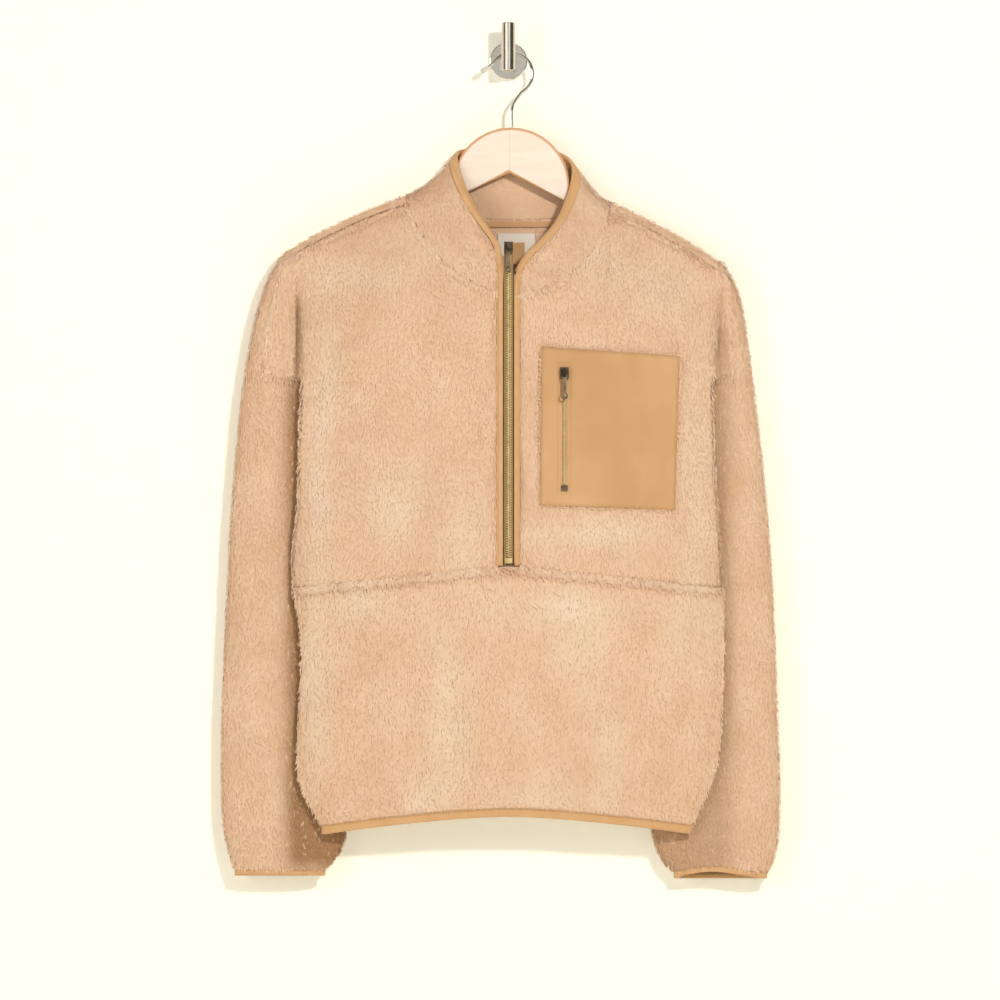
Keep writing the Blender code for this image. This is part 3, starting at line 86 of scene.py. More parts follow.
class Paint:
    """A material and a short way to add nodes to it."""

    def __init__(self, name, **values):
        self.material = bpy.data.materials.new(name)
        self.material.use_nodes = True
        self.tree = self.material.node_tree
        self.shader = self.tree.nodes["Principled BSDF"]
        self.set(self.shader, **values)

    def set(self, node, **values):
        for key, value in values.items():
            socket = node.inputs[key.replace("_", " ")]
            if isinstance(value, bpy.types.NodeSocket):
                self.tree.links.new(value, socket)
            else:
                socket.default_value = value

    def add(self, kind, out=0, fields=(), **values):
        """Adds a node, sets its fields and inputs, and gives its output socket."""
        node = self.tree.nodes.new("ShaderNode" + kind)
        for key, value in dict(fields).items():
            setattr(node, key, value)
        self.set(node, **values)
        return node.outputs[out]

    def place(self, scale=(1.0, 1.0, 1.0)):
        """Object coordinates, scaled."""
        mapping = self.add("Mapping", Vector=self.add("TexCoord", "Object"))
        mapping.node.inputs["Scale"].default_value = scale
        return mapping

    def noise(self, scale, detail=3.0, stretch=(1.0, 1.0, 1.0), roughness=0.55):
        return self.add("TexNoise", "Fac", Vector=self.place(stretch), Scale=scale, Detail=detail,
                        Roughness=roughness)

    def wave(self, scale, direction="X", distortion=0.0, profile="SIN"):
        fields = (("wave_type", "BANDS"), ("bands_direction", direction), ("wave_profile", profile))
        return self.add("TexWave", "Fac", fields, Vector=self.place(), Scale=scale, Distortion=distortion)

    def ramp(self, value, *stops):
        socket = self.add("ValToRGB", "Color", Fac=value)
        elements = socket.node.color_ramp.elements
        while len(elements) < len(stops):
            elements.new(0.5)
        for element, (place, code) in zip(elements, stops):
            element.position = place
            element.color = colour(code)
        return socket

    def math(self, operation, a, b=0.0, c=0.0):
        node = self.tree.nodes.new("ShaderNodeMath")
        node.operation = operation
        for socket, value in zip(node.inputs, (a, b, c)):
            if isinstance(value, bpy.types.NodeSocket):
                self.tree.links.new(value, socket)
            else:
                socket.default_value = value
        return node.outputs[0]

    def mix(self, factor, a, b, blend="MIX"):
        node = self.tree.nodes.new("ShaderNodeMix")
        node.data_type, node.blend_type = "RGBA", blend
        for index, value in ((0, factor), (6, a), (7, b)):
            if isinstance(value, bpy.types.NodeSocket):
                self.tree.links.new(value, node.inputs[index])
            else:
                node.inputs[index].default_value = value
        return node.outputs[2]

    def bump(self, height, distance, strength=1.0, after=None):
        values = {"Height": height, "Distance": distance, "Strength": strength}
        if after:
            values["Normal"] = after
        return self.add("Bump", "Normal", **values)


def fleece_paint():
    """High pile of polyester, paler where it is brushed up, with patches where it lies another way. Painted
    shade darkens its roots and the folds beside the body's edge; painted sheen pales it where the surface
    turns side-on.
    """
    paint = Paint("fleece_pile_sand", Roughness=0.85, Sheen_Weight=0.55, Sheen_Roughness=0.45,
                  Sheen_Tint=colour("#ffeedd"), Specular_IOR_Level=0.15)
    along = paint.add("Attribute", "Fac", (("attribute_name", "along"),))
    lock = paint.add("Attribute", "Fac", (("attribute_name", "lock"),))
    nap_and_rim_sheen = paint.add("Attribute", "Fac", (("attribute_name", "nap_and_rim_sheen"),))
    fold_shade = paint.add("Attribute", "Fac", (("attribute_name", "fold_shade"),))
    # painted shade: each tuft is darker towards its root, where the tufts above it shade it
    root_shaded_fibre = paint.ramp(along, (0.0, "#ecc8a8"), (0.5, "#f3d1b2"), (1.0, "#f5d5b8"))
    patches = paint.ramp(paint.noise(16.0, 4.0), (0.3, "#f0e0d0"), (0.7, "#ffffff"))
    locks = paint.ramp(lock, (0.0, "#f4e8dc"), (0.5, "#fdf9f5"), (1.0, "#ffffff"))
    tone = paint.mix(0.5, root_shaded_fibre, patches, "MULTIPLY")
    tone = paint.mix(0.6, tone, locks, "MULTIPLY")
    # paler where the pile is brushed up and along seams, and painted sheen: a pale rim on the tufts where
    # the surface turns side-on
    tone = paint.mix(nap_and_rim_sheen, tone, colour("#f9e4ce"))
    # painted shade: darker tan (#a47850) in the folds beside the body's edge, for the shadow the body casts
    # there
    tone = paint.mix(fold_shade, tone, colour("#a47850"))
    paint.set(paint.shader, Base_Color=tone)
    return paint.material


def backing_paint():
    """The knitted backing that shows between the tufts."""
    paint = Paint("fleece_backing_knit", Roughness=0.95, Sheen_Weight=0.3, Sheen_Roughness=0.6,
                  Sheen_Tint=colour("#ffeedd"), Specular_IOR_Level=0.1)
    grain = paint.noise(420.0, 2.0)
    tone = paint.ramp(paint.noise(20.0, 4.0), (0.3, "#eac6a6"), (0.7, "#f2d0b0"))
    tone = paint.mix(0.3, tone, paint.ramp(grain, (0.3, "#d6ac86"), (0.7, "#f6d8ba")))
    paint.set(paint.shader, Base_Color=tone)
    paint.set(paint.shader, Normal=paint.bump(grain, 0.0012, 0.8))
    return paint.material


def tape_paint(name="binding_tape_tan", tint="#d8a774", rib=1250.0):
    """Woven elastic tape with fine slanting ribs."""
    paint = Paint(name, Roughness=0.72, Sheen_Weight=0.15, Sheen_Roughness=0.5, Specular_IOR_Level=0.25)
    slub = paint.math("MULTIPLY", paint.noise(900.0, 2.0), 0.6)
    ribs = paint.math("ADD", paint.wave(rib / 6.283, "DIAGONAL"), slub)
    fade = paint.ramp(paint.noise(55.0, 3.0), (0.3, "#cd9c66"), (0.7, "#e0b585"))
    tone = paint.mix(0.5, colour(tint), fade)
    tone = paint.mix(0.2, tone, paint.ramp(ribs, (0.2, "#a1764a"), (0.9, "#f0cca0")), "MIX")
    paint.set(paint.shader, Base_Color=tone, Normal=paint.bump(ribs, 0.00025, 0.6))
    return paint.material


def pocket_paint():
    """Plain woven nylon with soft slanting creases: a broad bump, and painted sheen and shade in slanting
    bands.
    """
    paint = Paint("pocket_nylon_tan", Roughness=0.62, Sheen_Weight=0.1, Sheen_Roughness=0.4,
                  Specular_IOR_Level=0.3)
    weave = paint.math("MULTIPLY", paint.wave(300.0, "X"), paint.wave(300.0, "Z"))
    broad = paint.noise(14.0, 3.0, (1.0, 1.0, 0.6))
    tone = paint.ramp(broad, (0.3, "#cb9d6c"), (0.5, "#d5a777"), (0.7, "#dfb388"))
    # painted sheen and shade: lighter and darker slanting bands for the light on the soft creases
    bands = paint.wave(1.7, "DIAGONAL", 5.0)
    tone = paint.mix(0.16, tone, paint.ramp(bands, (0.2, "#c49460"), (0.8, "#e6c092")))
    tone = paint.mix(0.1, tone, paint.ramp(weave, (0.0, "#a0733f"), (1.0, "#e2bb88")))
    paint.set(paint.shader, Base_Color=tone)
    paint.set(paint.shader, Normal=paint.bump(weave, 0.00015, 0.5, paint.bump(broad, 0.004, 0.35)))
    return paint.material


def thread_paint(name="thread_tan", tint="#c9965e"):
    paint = Paint(name, Roughness=0.6, Sheen_Weight=0.2)
    twist = paint.wave(900.0, "DIAGONAL")
    tone = paint.mix(paint.math("MULTIPLY", twist, 0.5), colour(tint), colour("#8c6335"))
    paint.set(paint.shader, Base_Color=tone, Normal=paint.bump(twist, 0.0002, 0.5))
    return paint.material


def metal_paint(name, dark, light, roughness, scale, metallic=1.0, stretch=(1.0, 1.0, 1.0)):
    """Metal with fine uneven tone and roughness."""
    paint = Paint(name, Metallic=metallic)
    stain = paint.noise(scale, 5.0, stretch)
    paint.set(paint.shader, Base_Color=paint.ramp(stain, (0.3, dark), (0.7, light)))
    spread = paint.math("MULTIPLY_ADD", stain, 0.22, roughness - 0.11)
    scratches = paint.noise(scale * 3, 3.0, stretch)
    paint.set(paint.shader, Roughness=spread, Normal=paint.bump(scratches, 0.0002, 0.25))
    return paint.material


def zip_tape_paint():
    paint = Paint("zip_tape_olive", Roughness=0.85)
    weave = paint.math("MULTIPLY", paint.wave(520.0, "DIAGONAL"), paint.wave(380.0, "Z"))
    paint.set(paint.shader, Base_Color=paint.ramp(weave, (0.0, "#9c7e50"), (1.0, "#cdae7c")),
              Normal=paint.bump(weave, 0.0002, 0.7))
    return paint.material


# Hanger: the tan bands on its wood, in metres
WOOD_MIDDLE = 0.0012  # x of the glued joint
WOOD_ARC = (0.0024, -0.126)  # x and z of the top arc's centre
WOOD_ARC_EDGE = 0.0556  # from that centre to where the band starts
WOOD_V = (-0.1128, 0.553)  # height and slope of the V underneath
WOOD_V_BAND = 0.0036


def wood_paint():
    """Pale lacquered wood, tan in a band along the top arc's edge and in one under the V, with a joint in
    the middle.
    """
    paint = Paint("hanger_wood_pale", Coat_Weight=0.35, Coat_Roughness=0.25, Roughness=0.5)
    grain = paint.noise(38.0, 6.0, (0.25, 1.0, 2.4), 0.6)
    streaks = paint.noise(160.0, 3.0, (0.12, 1.0, 1.0))
    tone = paint.ramp(grain, (0.3, "#f6e6d6"), (0.6, "#fceee0"), (0.8, "#fff4e8"))
    tone = paint.mix(0.2, tone, paint.ramp(streaks, (0.35, "#ecd2b8"), (0.7, "#fff2e4")))
    split = paint.add("SeparateXYZ", "X", Vector=paint.add("TexCoord", "Object"))
    near = paint.math("ABSOLUTE", paint.math("SUBTRACT", split, WOOD_MIDDLE))
    joint = paint.math("LESS_THAN", near, 0.00035)
    tone = paint.mix(paint.math("MULTIPLY", joint, 0.35), tone, colour("#caa27c"))
    height = paint.add("SeparateXYZ", "Z", Vector=paint.add("TexCoord", "Object"))
    across = paint.math("POWER", paint.math("SUBTRACT", split, WOOD_ARC[0]), 2.0)
    up = paint.math("POWER", paint.math("SUBTRACT", height, WOOD_ARC[1]), 2.0)
    from_arc = paint.math("SQRT", paint.math("ADD", across, up))
    past = paint.math("MULTIPLY", paint.math("SUBTRACT", from_arc, WOOD_ARC_EDGE), 700.0)
    arc = paint.math("SMOOTH_MIN", 1.0, paint.math("MAXIMUM", 0.0, past), 0.1)
    top = paint.math("SUBTRACT", height, WOOD_V[0])
    above = paint.math("MULTIPLY_ADD", paint.math("ABSOLUTE", split), WOOD_V[1], top)
    under = paint.math("LESS_THAN", above, WOOD_V_BAND)
    edge = paint.math("MAXIMUM", arc, under)
    paint.set(paint.shader, Base_Color=paint.mix(edge, tone, colour("#dba878")))
    paint.set(paint.shader, Normal=paint.bump(grain, 0.0004, 0.3))
    return paint.material


def label_paint():
    paint = Paint("label_satin_blank", Roughness=0.5, Sheen_Weight=0.2)
    weave = paint.math("MULTIPLY", paint.wave(700.0, "X"), paint.wave(420.0, "Z"))
    paint.set(paint.shader, Base_Color=paint.ramp(weave, (0.0, "#f6eadc"), (1.0, "#fffaf0")),
              Normal=paint.bump(weave, 0.0001, 0.5))
    return paint.material


def clear_paint():
    paint = Paint("hook_tip_clear", Roughness=0.12, Transmission_Weight=0.75, IOR=1.45)
    paint.set(paint.shader, Base_Color=paint.ramp(paint.noise(60.0), (0.3, "#e2e2dc"), (0.7, "#f6f6f0")))
    return paint.material


FLEECE = fleece_paint()
BACKING = backing_paint()
TAPE = tape_paint()
POCKET_CLOTH = pocket_paint()
THREAD = thread_paint()
BRONZE = metal_paint("slider_dark_bronze", "#3a2e25", "#756450", 0.34, 120.0)
BRASS = metal_paint("teeth_aged_brass", "#b59a66", "#e4cc98", 0.42, 200.0, 0.8)
CHROME = metal_paint("hook_chrome_wire", "#b9b9b9", "#e4e4e2", 0.16, 60.0)
NICKEL = metal_paint("wall_hook_brushed_nickel", "#bdb3a6", "#ddd5c9", 0.2, 90.0, 1.0, (1.0, 1.0, 0.08))
PLATE = metal_paint("wall_plate_polished", "#eae2d8", "#fbf7f0", 0.12, 40.0)
ZIP_TAPE = zip_tape_paint()
POCKET_TAPE = tape_paint("pocket_zip_tape_brown", "#6e5535")
WOOD = wood_paint()
LABEL = label_paint()
CLEAR = clear_paint()

CARRIED = {
    "zip_tape": ZIP_TAPE, "zip_stop": BRASS, "pocket_stop": BRONZE,
    "zip_slider": BRONZE, "zip_pull": BRONZE, "pocket_slider": BRONZE, "pocket_pull": BRONZE,
    "hanger_wood": WOOD, "hanger_hook": CHROME, "hook_tip": CLEAR,
    "wall_plate": PLATE, "wall_peg": NICKEL, "neck_label": LABEL, "size_tab": TAPE,
}


# Mesh tools

def new_piece(name, mesh, material, body=BODY):
    """Links a mesh as a finished piece that rides on a body."""
    thing = bpy.data.objects.new(name, mesh)
    bpy.context.scene.collection.objects.link(thing)
    mesh.materials.clear()
    mesh.materials.append(material)
    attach(thing, body)
    return thing


def node_copy(*names, hold=0.9):
    """The surface of CAD nodes as a bmesh of quads where it can be, in metres. Strips are sewn together.
    Sharp edges keep their form as far as hold says, from 0 to 1."""
    copy = bmesh.new()
    copy.verts.layers.int.new("strip")
    for number, name in enumerate(names, 1):
        copy.from_mesh(NODES[name].data)
        strip = copy.verts.layers.int["strip"]
        bmesh.ops.remove_doubles(copy, verts=[v for v in copy.verts if not v[strip]], dist=2e-5)
        newest = [vert for vert in copy.verts if not vert[strip]]
        others = [vert for vert in copy.verts if vert[strip]]
        for vert in newest:
            vert[strip] = number
        if others:
            sew(copy, newest, others)
    bmesh.ops.join_triangles(copy, faces=copy.faces, angle_face_threshold=math.radians(40),
                             angle_shape_threshold=math.radians(50))
    bmesh.ops.recalc_face_normals(copy, faces=copy.faces)
    crease = copy.edges.layers.float.new("crease_edge")
    for edge in copy.edges:
        if edge.is_manifold and edge.calc_face_angle(0.0) > SHARP:
            edge[crease] = hold
    return copy


def sew(copy, newest, others):
    """Joins the newest strip of a wall to the others: drops the cut faces and welds the points that meet."""
    tree = KDTree(len(others))
    for n, vert in enumerate(others):
        tree.insert(vert.co, n)
    tree.balance()
    welds = {}
    for vert in newest:
        place, n, far = tree.find(vert.co)
        if far < CUT_REACH:
            welds[vert] = others[n]
            others[n].co = (place + vert.co) / 2
    marked = set(welds) | set(welds.values())
    bmesh.ops.delete(copy, geom=[f for f in copy.faces if marked.issuperset(f.verts)], context="FACES_ONLY")
    bmesh.ops.weld_verts(copy, targetmap=welds)


def subdivided(mesh, levels):
    """Applies a subdivision surface to a mesh and gives the new mesh."""
    thing = bpy.data.objects.new("work", mesh)
    bpy.context.scene.collection.objects.link(thing)
    bpy.ops.object.select_all(action="DESELECT")
    bpy.context.view_layer.objects.active = thing
    thing.select_set(True)
    smooth = thing.modifiers.new("smooth", "SUBSURF")
    smooth.levels = smooth.render_levels = levels
    bpy.ops.object.modifier_apply(modifier=smooth.name)
    bpy.data.objects.remove(thing)
    mesh.shade_smooth()
    return mesh


def points_of(mesh):
    points = np.empty(len(mesh.vertices) * 3, dtype=np.float32)
    mesh.vertices.foreach_get("co", points)
    return points.reshape(-1, 3).astype(np.float64)


def set_points(mesh, points):
    mesh.vertices.foreach_set("co", points.astype(np.float32).ravel())
    mesh.update()


def normals_of(mesh):
    normals = np.empty(len(mesh.vertices) * 3, dtype=np.float32)
    mesh.vertices.foreach_get("normal", normals)
    return normals.reshape(-1, 3).astype(np.float64)


def unit(vectors):
    return vectors / np.maximum(np.linalg.norm(vectors, axis=1, keepdims=True), 1e-9)


def ripples(points, size, seed, waves=5):
    """A smooth uneven field from -1 to 1. size is the typical width of its patches, in millimetres."""
    rng = np.random.default_rng(seed)
    total = np.zeros(len(points))
    for _ in range(waves):
        direction = rng.normal(size=3)
        direction *= 2 * math.pi / (size * MM) * rng.uniform(0.6, 1.5) / np.linalg.norm(direction)
        total += np.sin(points @ direction + rng.uniform(0, 2 * math.pi))
    return total / waves * 1.4


# Fleece panels

def sleeve_middle(points, sign):
    """Distance of a sleeve's middle from the garment's, in metres."""
    z = points[:, 2] / MM
    low, high = (0.207, 0.176) if sign > 0 else (0.2225, 0.205)
    return sign * (low + (high - low) * smoothstep(-330.0, -200.0, z))


def shoulder_line(x):
    """Height of the axis of the rounded shoulders."""
    return -0.150 - 0.50 * np.maximum(np.abs(x) - 0.102, 0.0)


def outward(name, points):
    """Roughly which way the outside of a panel faces at its points."""
    x, y, z = points.T
    away = np.zeros_like(points)
    if name.startswith("sleeve"):
        sign = 1.0 if name.endswith("left") else -1.0
        away[:, 0] = x - sleeve_middle(points, sign)
        away[:, 1] = (y - HANG_Y * MM) * 3.2
    elif name.startswith("front"):
        away[:, 0] = 0.45 * np.sign(x) * smoothstep(0.05, 0.2, np.abs(x))
        away[:, 1] = -1.0
    elif name == "collar":
        away[:, 0] = x / 0.1
        away[:, 1] = (y - HANG_Y * MM) / 0.045
    else:
        over = z > shoulder_line(x)
        away[:, 1] = np.where(over, (y - HANG_Y * MM) / 0.0175, 1.0)
        away[:, 2] = np.where(over, (z - shoulder_line(x)) / 0.014, 0.0)
        tucked = (z < -0.315) & (np.abs(x) > 0.125)
        away[:, 0] = np.where(tucked, 0.8 * np.sign(x), 0.0)
    return unit(away)


# Soft creases: panel, then points of x and z, half width, depth (a ridge is negative)
CREASES = {
    "front_lower": (
        (((58, -628), (56, -680), (53, -745)), 7.0, 3.0),
        (((124, -600), (119, -660), (115, -735)), 8.0, 3.0),
        (((-58, -600), (-57, -670), (-58, -735)), 9.0, 2.6),
        (((-128, -560), (-142, -620), (-150, -700)), 16.0, 2.0),
        (((-96, -742), (-84, -722), (-80, -700)), 5.0, 2.0),
        (((-6, -738), (2, -716), (4, -690)), 5.0, 2.2),
        (((150, -540), (168, -600), (176, -680)), 14.0, -2.0),
        (((20, -540), (40, -548), (70, -552)), 6.0, -1.6),
        (((60, -535), (72, -552), (84, -578)), 5.0, 1.8),
    ),
    "front_right": (
        (((-213, -222), (-213, -270), (-214, -318)), 5.0, 10.0),
        (((-224, -236), (-226, -280), (-228, -320)), 10.0, 5.0),
        (((-203, -250), (-203, -300), (-204, -400)), 6.0, -2.0),
        (((-92, -300), (-84, -380), (-88, -470)), 16.0, 2.4),
        (((-150, -330), (-128, -400), (-110, -460)), 18.0, -2.4),
        (((-38, -420), (-44, -460), (-30, -500)), 12.0, 2.0),
        (((-196, -340), (-180, -300), (-170, -262)), 10.0, 3.0),
        (((-120, -255), (-150, -262), (-185, -280)), 9.0, 2.2),
        (((-160, -430), (-140, -470), (-135, -500)), 12.0, -1.8),
    ),
    "front_left": (
        (((214, -236), (212, -275), (210, -318)), 5.0, 5.0),
        (((204, -262), (202, -310), (202, -400)), 6.0, -2.0),
        (((186, -352), (176, -310), (168, -272)), 10.0, 3.0),
        (((110, -240), (140, -252), (176, -272)), 10.0, 2.2),
        (((60, -470), (80, -482), (120, -490)), 9.0, -1.8),
        (((188, -420), (180, -460), (184, -500)), 12.0, 2.2),
        (((24, -262), (30, -330), (26, -420)), 9.0, 1.8),
    ),
    "sleeve_right": (
        (((-226, -330), (-220, -420), (-222, -520)), 16.0, 2.6),
        (((-262, -420), (-250, -470), (-244, -540)), 12.0, -2.0),
        (((-200, -560), (-226, -590), (-262, -600)), 10.0, 2.2),
        (((-200, -690), (-230, -700), (-268, -690)), 9.0, 2.0),
        (((-204, -740), (-232, -756), (-262, -752)), 7.0, 2.2),
        (((-236, -640), (-230, -720), (-238, -780)), 12.0, 1.8),
    ),
    "sleeve_left": (
        (((222, -330), (228, -420), (232, -520)), 13.0, 2.4),
        (((216, -520), (236, -548), (262, -552)), 9.0, 2.0),
        (((220, -640), (240, -660), (264, -656)), 9.0, 2.0),
        (((170, -770), (200, -776), (240, -770)), 7.0, 2.2),
        (((244, -600), (240, -700), (236, -780)), 12.0, -1.8),
    ),
    "collar": (
        (((-46, -142), (-38, -168), (-26, -196)), 4.0, 1.8),
        (((-34, -150), (-24, -178), (-16, -212)), 4.0, 1.6),
        (((-60, -160), (-46, -190), (-30, -214)), 5.0, -1.6),
        (((22, -196), (36, -203), (52, -206)), 4.0, 2.2),
        (((28, -208), (44, -212), (60, -208)), 4.0, -1.6),
    ),
    "back": (
        (((-60, -260), (-20, -300), (30, -330)), 24.0, 2.2),
        (((90, -280), (60, -360), (50, -450)), 20.0, 2.4),
        (((-110, -340), (-80, -420), (-70, -520)), 20.0, 2.2),
        (((-40, -560), (-36, -640), (-40, -735)), 14.0, 2.4),
        (((64, -580), (60, -660), (66, -735)), 14.0, 2.4),
    ),
}


def crease_depth(name, points):
    """How far the listed creases push the cloth in at its points, in metres."""
    depth = np.zeros(len(points))
    flat = points[:, (0, 2)] / MM
    for line, half_width, deep in CREASES.get(name, ()):
        nearest = np.full(len(points), 1e9)
        share = np.zeros(len(points))
        steps = len(line) - 1
        for k, (a, b) in enumerate(zip(line, line[1:])):
            a, b = np.array(a, float), np.array(b, float)
            t = np.clip((flat - a) @ (b - a) / ((b - a) @ (b - a)), 0, 1)
            far = np.linalg.norm(flat - (a + t[:, None] * (b - a)), axis=1)
            closer = far < nearest
            nearest = np.where(closer, far, nearest)
            share = np.where(closer, (k + t) / steps, share)
        ends = smoothstep(0.0, 0.3, share) * smoothstep(1.0, 0.7, share)
        depth += deep * MM * (0.25 + 0.75 * ends) * np.exp(-((nearest / half_width) ** 2))
    return depth


def cuff_lift(node, points):
    """How far the front of the left sleeve's end is pulled up in its middle, in metres."""
    if not node.endswith("_left"):
        return np.zeros(len(points))
    x, y, z = points.T / MM
    across = np.exp(-(((x - 204.0) / 34.0) ** 2))
    return 7.0 * MM * across * smoothstep(-740.0, -805.0, z) * smoothstep(-24.0, -31.0, y)


def outer_edges(node, solids):
    """Points along the sharp outer edges of a panel's solids, and which way the outside faces there."""
    copy = node_copy(*solids)
    places, facing = [], []
    for edge in copy.edges:
        if edge.is_manifold and edge.calc_face_angle(0.0) > SHARP:
            a, b = (vert.co for vert in edge.verts)
            steps = int((b - a).length / SEAM_STEP) + 1
            away = outward(node, np.array([(a + b) / 2]))[0]
            normal = max((np.array(face.normal) for face in edge.link_faces), key=lambda n: float(n @ away))
            if normal @ away > 0.5:
                places += [tuple(a.lerp(b, k / steps)) for k in range(steps)]
                facing += [normal] * steps
    copy.free()
    return np.array(places), np.array(facing)


def tree_of(places):
    tree = KDTree(len(places))
    for n, place in enumerate(places):
        tree.insert(place, n)
    tree.balance()
    return tree


def fold_shadow_share(node, points):
    """How much painted shade darkens the pile at a panel's points: deep in the folds beside the body's edge,
    where the body casts its shadow.
    """
    x, z = points[:, 0] / MM, points[:, 2] / MM
    share = np.zeros(len(points))
    front = points[:, 1] / MM < HANG_Y
    if node == "sleeve_right":
        out = np.maximum(-211.0 - x, 0.0)
        share = 0.95 * np.exp(-((out / 13.0) ** 2)) * smoothstep(-300.0, -335.0, z)
        share *= smoothstep(-820.0, -790.0, z)
    elif node == "sleeve_left":
        out = np.maximum(x - 210.0, 0.0)
        share = 0.5 * np.exp(-((out / 16.0) ** 2)) * smoothstep(-290.0, -330.0, z)
    elif node == "front_left":
        out = np.maximum(x - 212.0, 0.0)
        share = 0.45 * np.exp(-((out / 14.0) ** 2)) * smoothstep(205.0, 212.0, x)
        share *= smoothstep(-245.0, -285.0, z)
    elif node == "front_right":
        share = 0.8 * np.exp(-(((x + 211.0) / 3.4) ** 2)) * smoothstep(-222.0, -250.0, z)
        share *= smoothstep(-345.0, -318.0, z)
    return np.clip(share * front, 0.0, 0.9)


def panel(node, solids):
    """The backing of a fleece panel: the solid's form, thinner by its pile, with its creases."""
    copy = node_copy(*solids, hold=1.0)
    mesh = bpy.data.meshes.new(node + "_backing")
    copy.to_mesh(mesh)
    copy.free()
    points = points_of(mesh)
    out_sum, in_sum = np.zeros_like(points), np.zeros_like(points)
    for face in mesh.polygons:
        centre = np.array([face.center])
        score = float(outward(node, centre)[0] @ np.array(face.normal))
        for n in face.vertices:
            if score > 0.3:
                out_sum[n] += face.normal * face.area
            elif score < -0.3:
                in_sum[n] += face.normal * face.area
    has_out = np.linalg.norm(out_sum, axis=1) > np.linalg.norm(in_sum, axis=1)
    edge = np.zeros(len(points), dtype=bool)
    creased = mesh.attributes["crease_edge"].data
    for line in mesh.edges:
        if creased[line.index].value > 0:
            edge[list(line.vertices)] = True
    sink = np.where(edge, PILE_EDGE, PILE_OUT) * MM
    move = np.where(has_out[:, None], -unit(out_sum) * sink[:, None], -unit(in_sum) * PILE_IN * MM)
    set_points(mesh, points + move)
    subdivided(mesh, 2)
    points = points_of(mesh)
    away = outward(node, points)
    low, high = points[:, 2].min(), points[:, 2].max()
    hold = smoothstep(low, low + 0.02, points[:, 2]) * smoothstep(high, high - 0.02, points[:, 2])
    soft = 0.7 * MM * ripples(points * np.array([1.0, 0.2, 0.7]), 55.0, 3) * hold
    depth = crease_depth(node, points) * np.abs(away[:, 1]) + soft
    if node == "back":
        depth *= points[:, 1] > -0.03
    moved = points - away * depth[:, None] * np.array([0.0, 1.0, 0.3])
    moved[:, 2] += cuff_lift(node, moved)
    set_points(mesh, moved)
    return mesh


def seams_of(edges):
    """The points of every panel's outer edges that meet another panel, and which way they face."""
    seams = {}
    for node, (places, facing) in edges.items():
        others = tree_of(np.concatenate([row[0] for other, row in edges.items() if other != node]).tolist())
        near = np.array([others.find(place)[2] for place in places.tolist()]) < SEAM_NEAR
        seams[node] = (places[near], facing[near])
    return seams


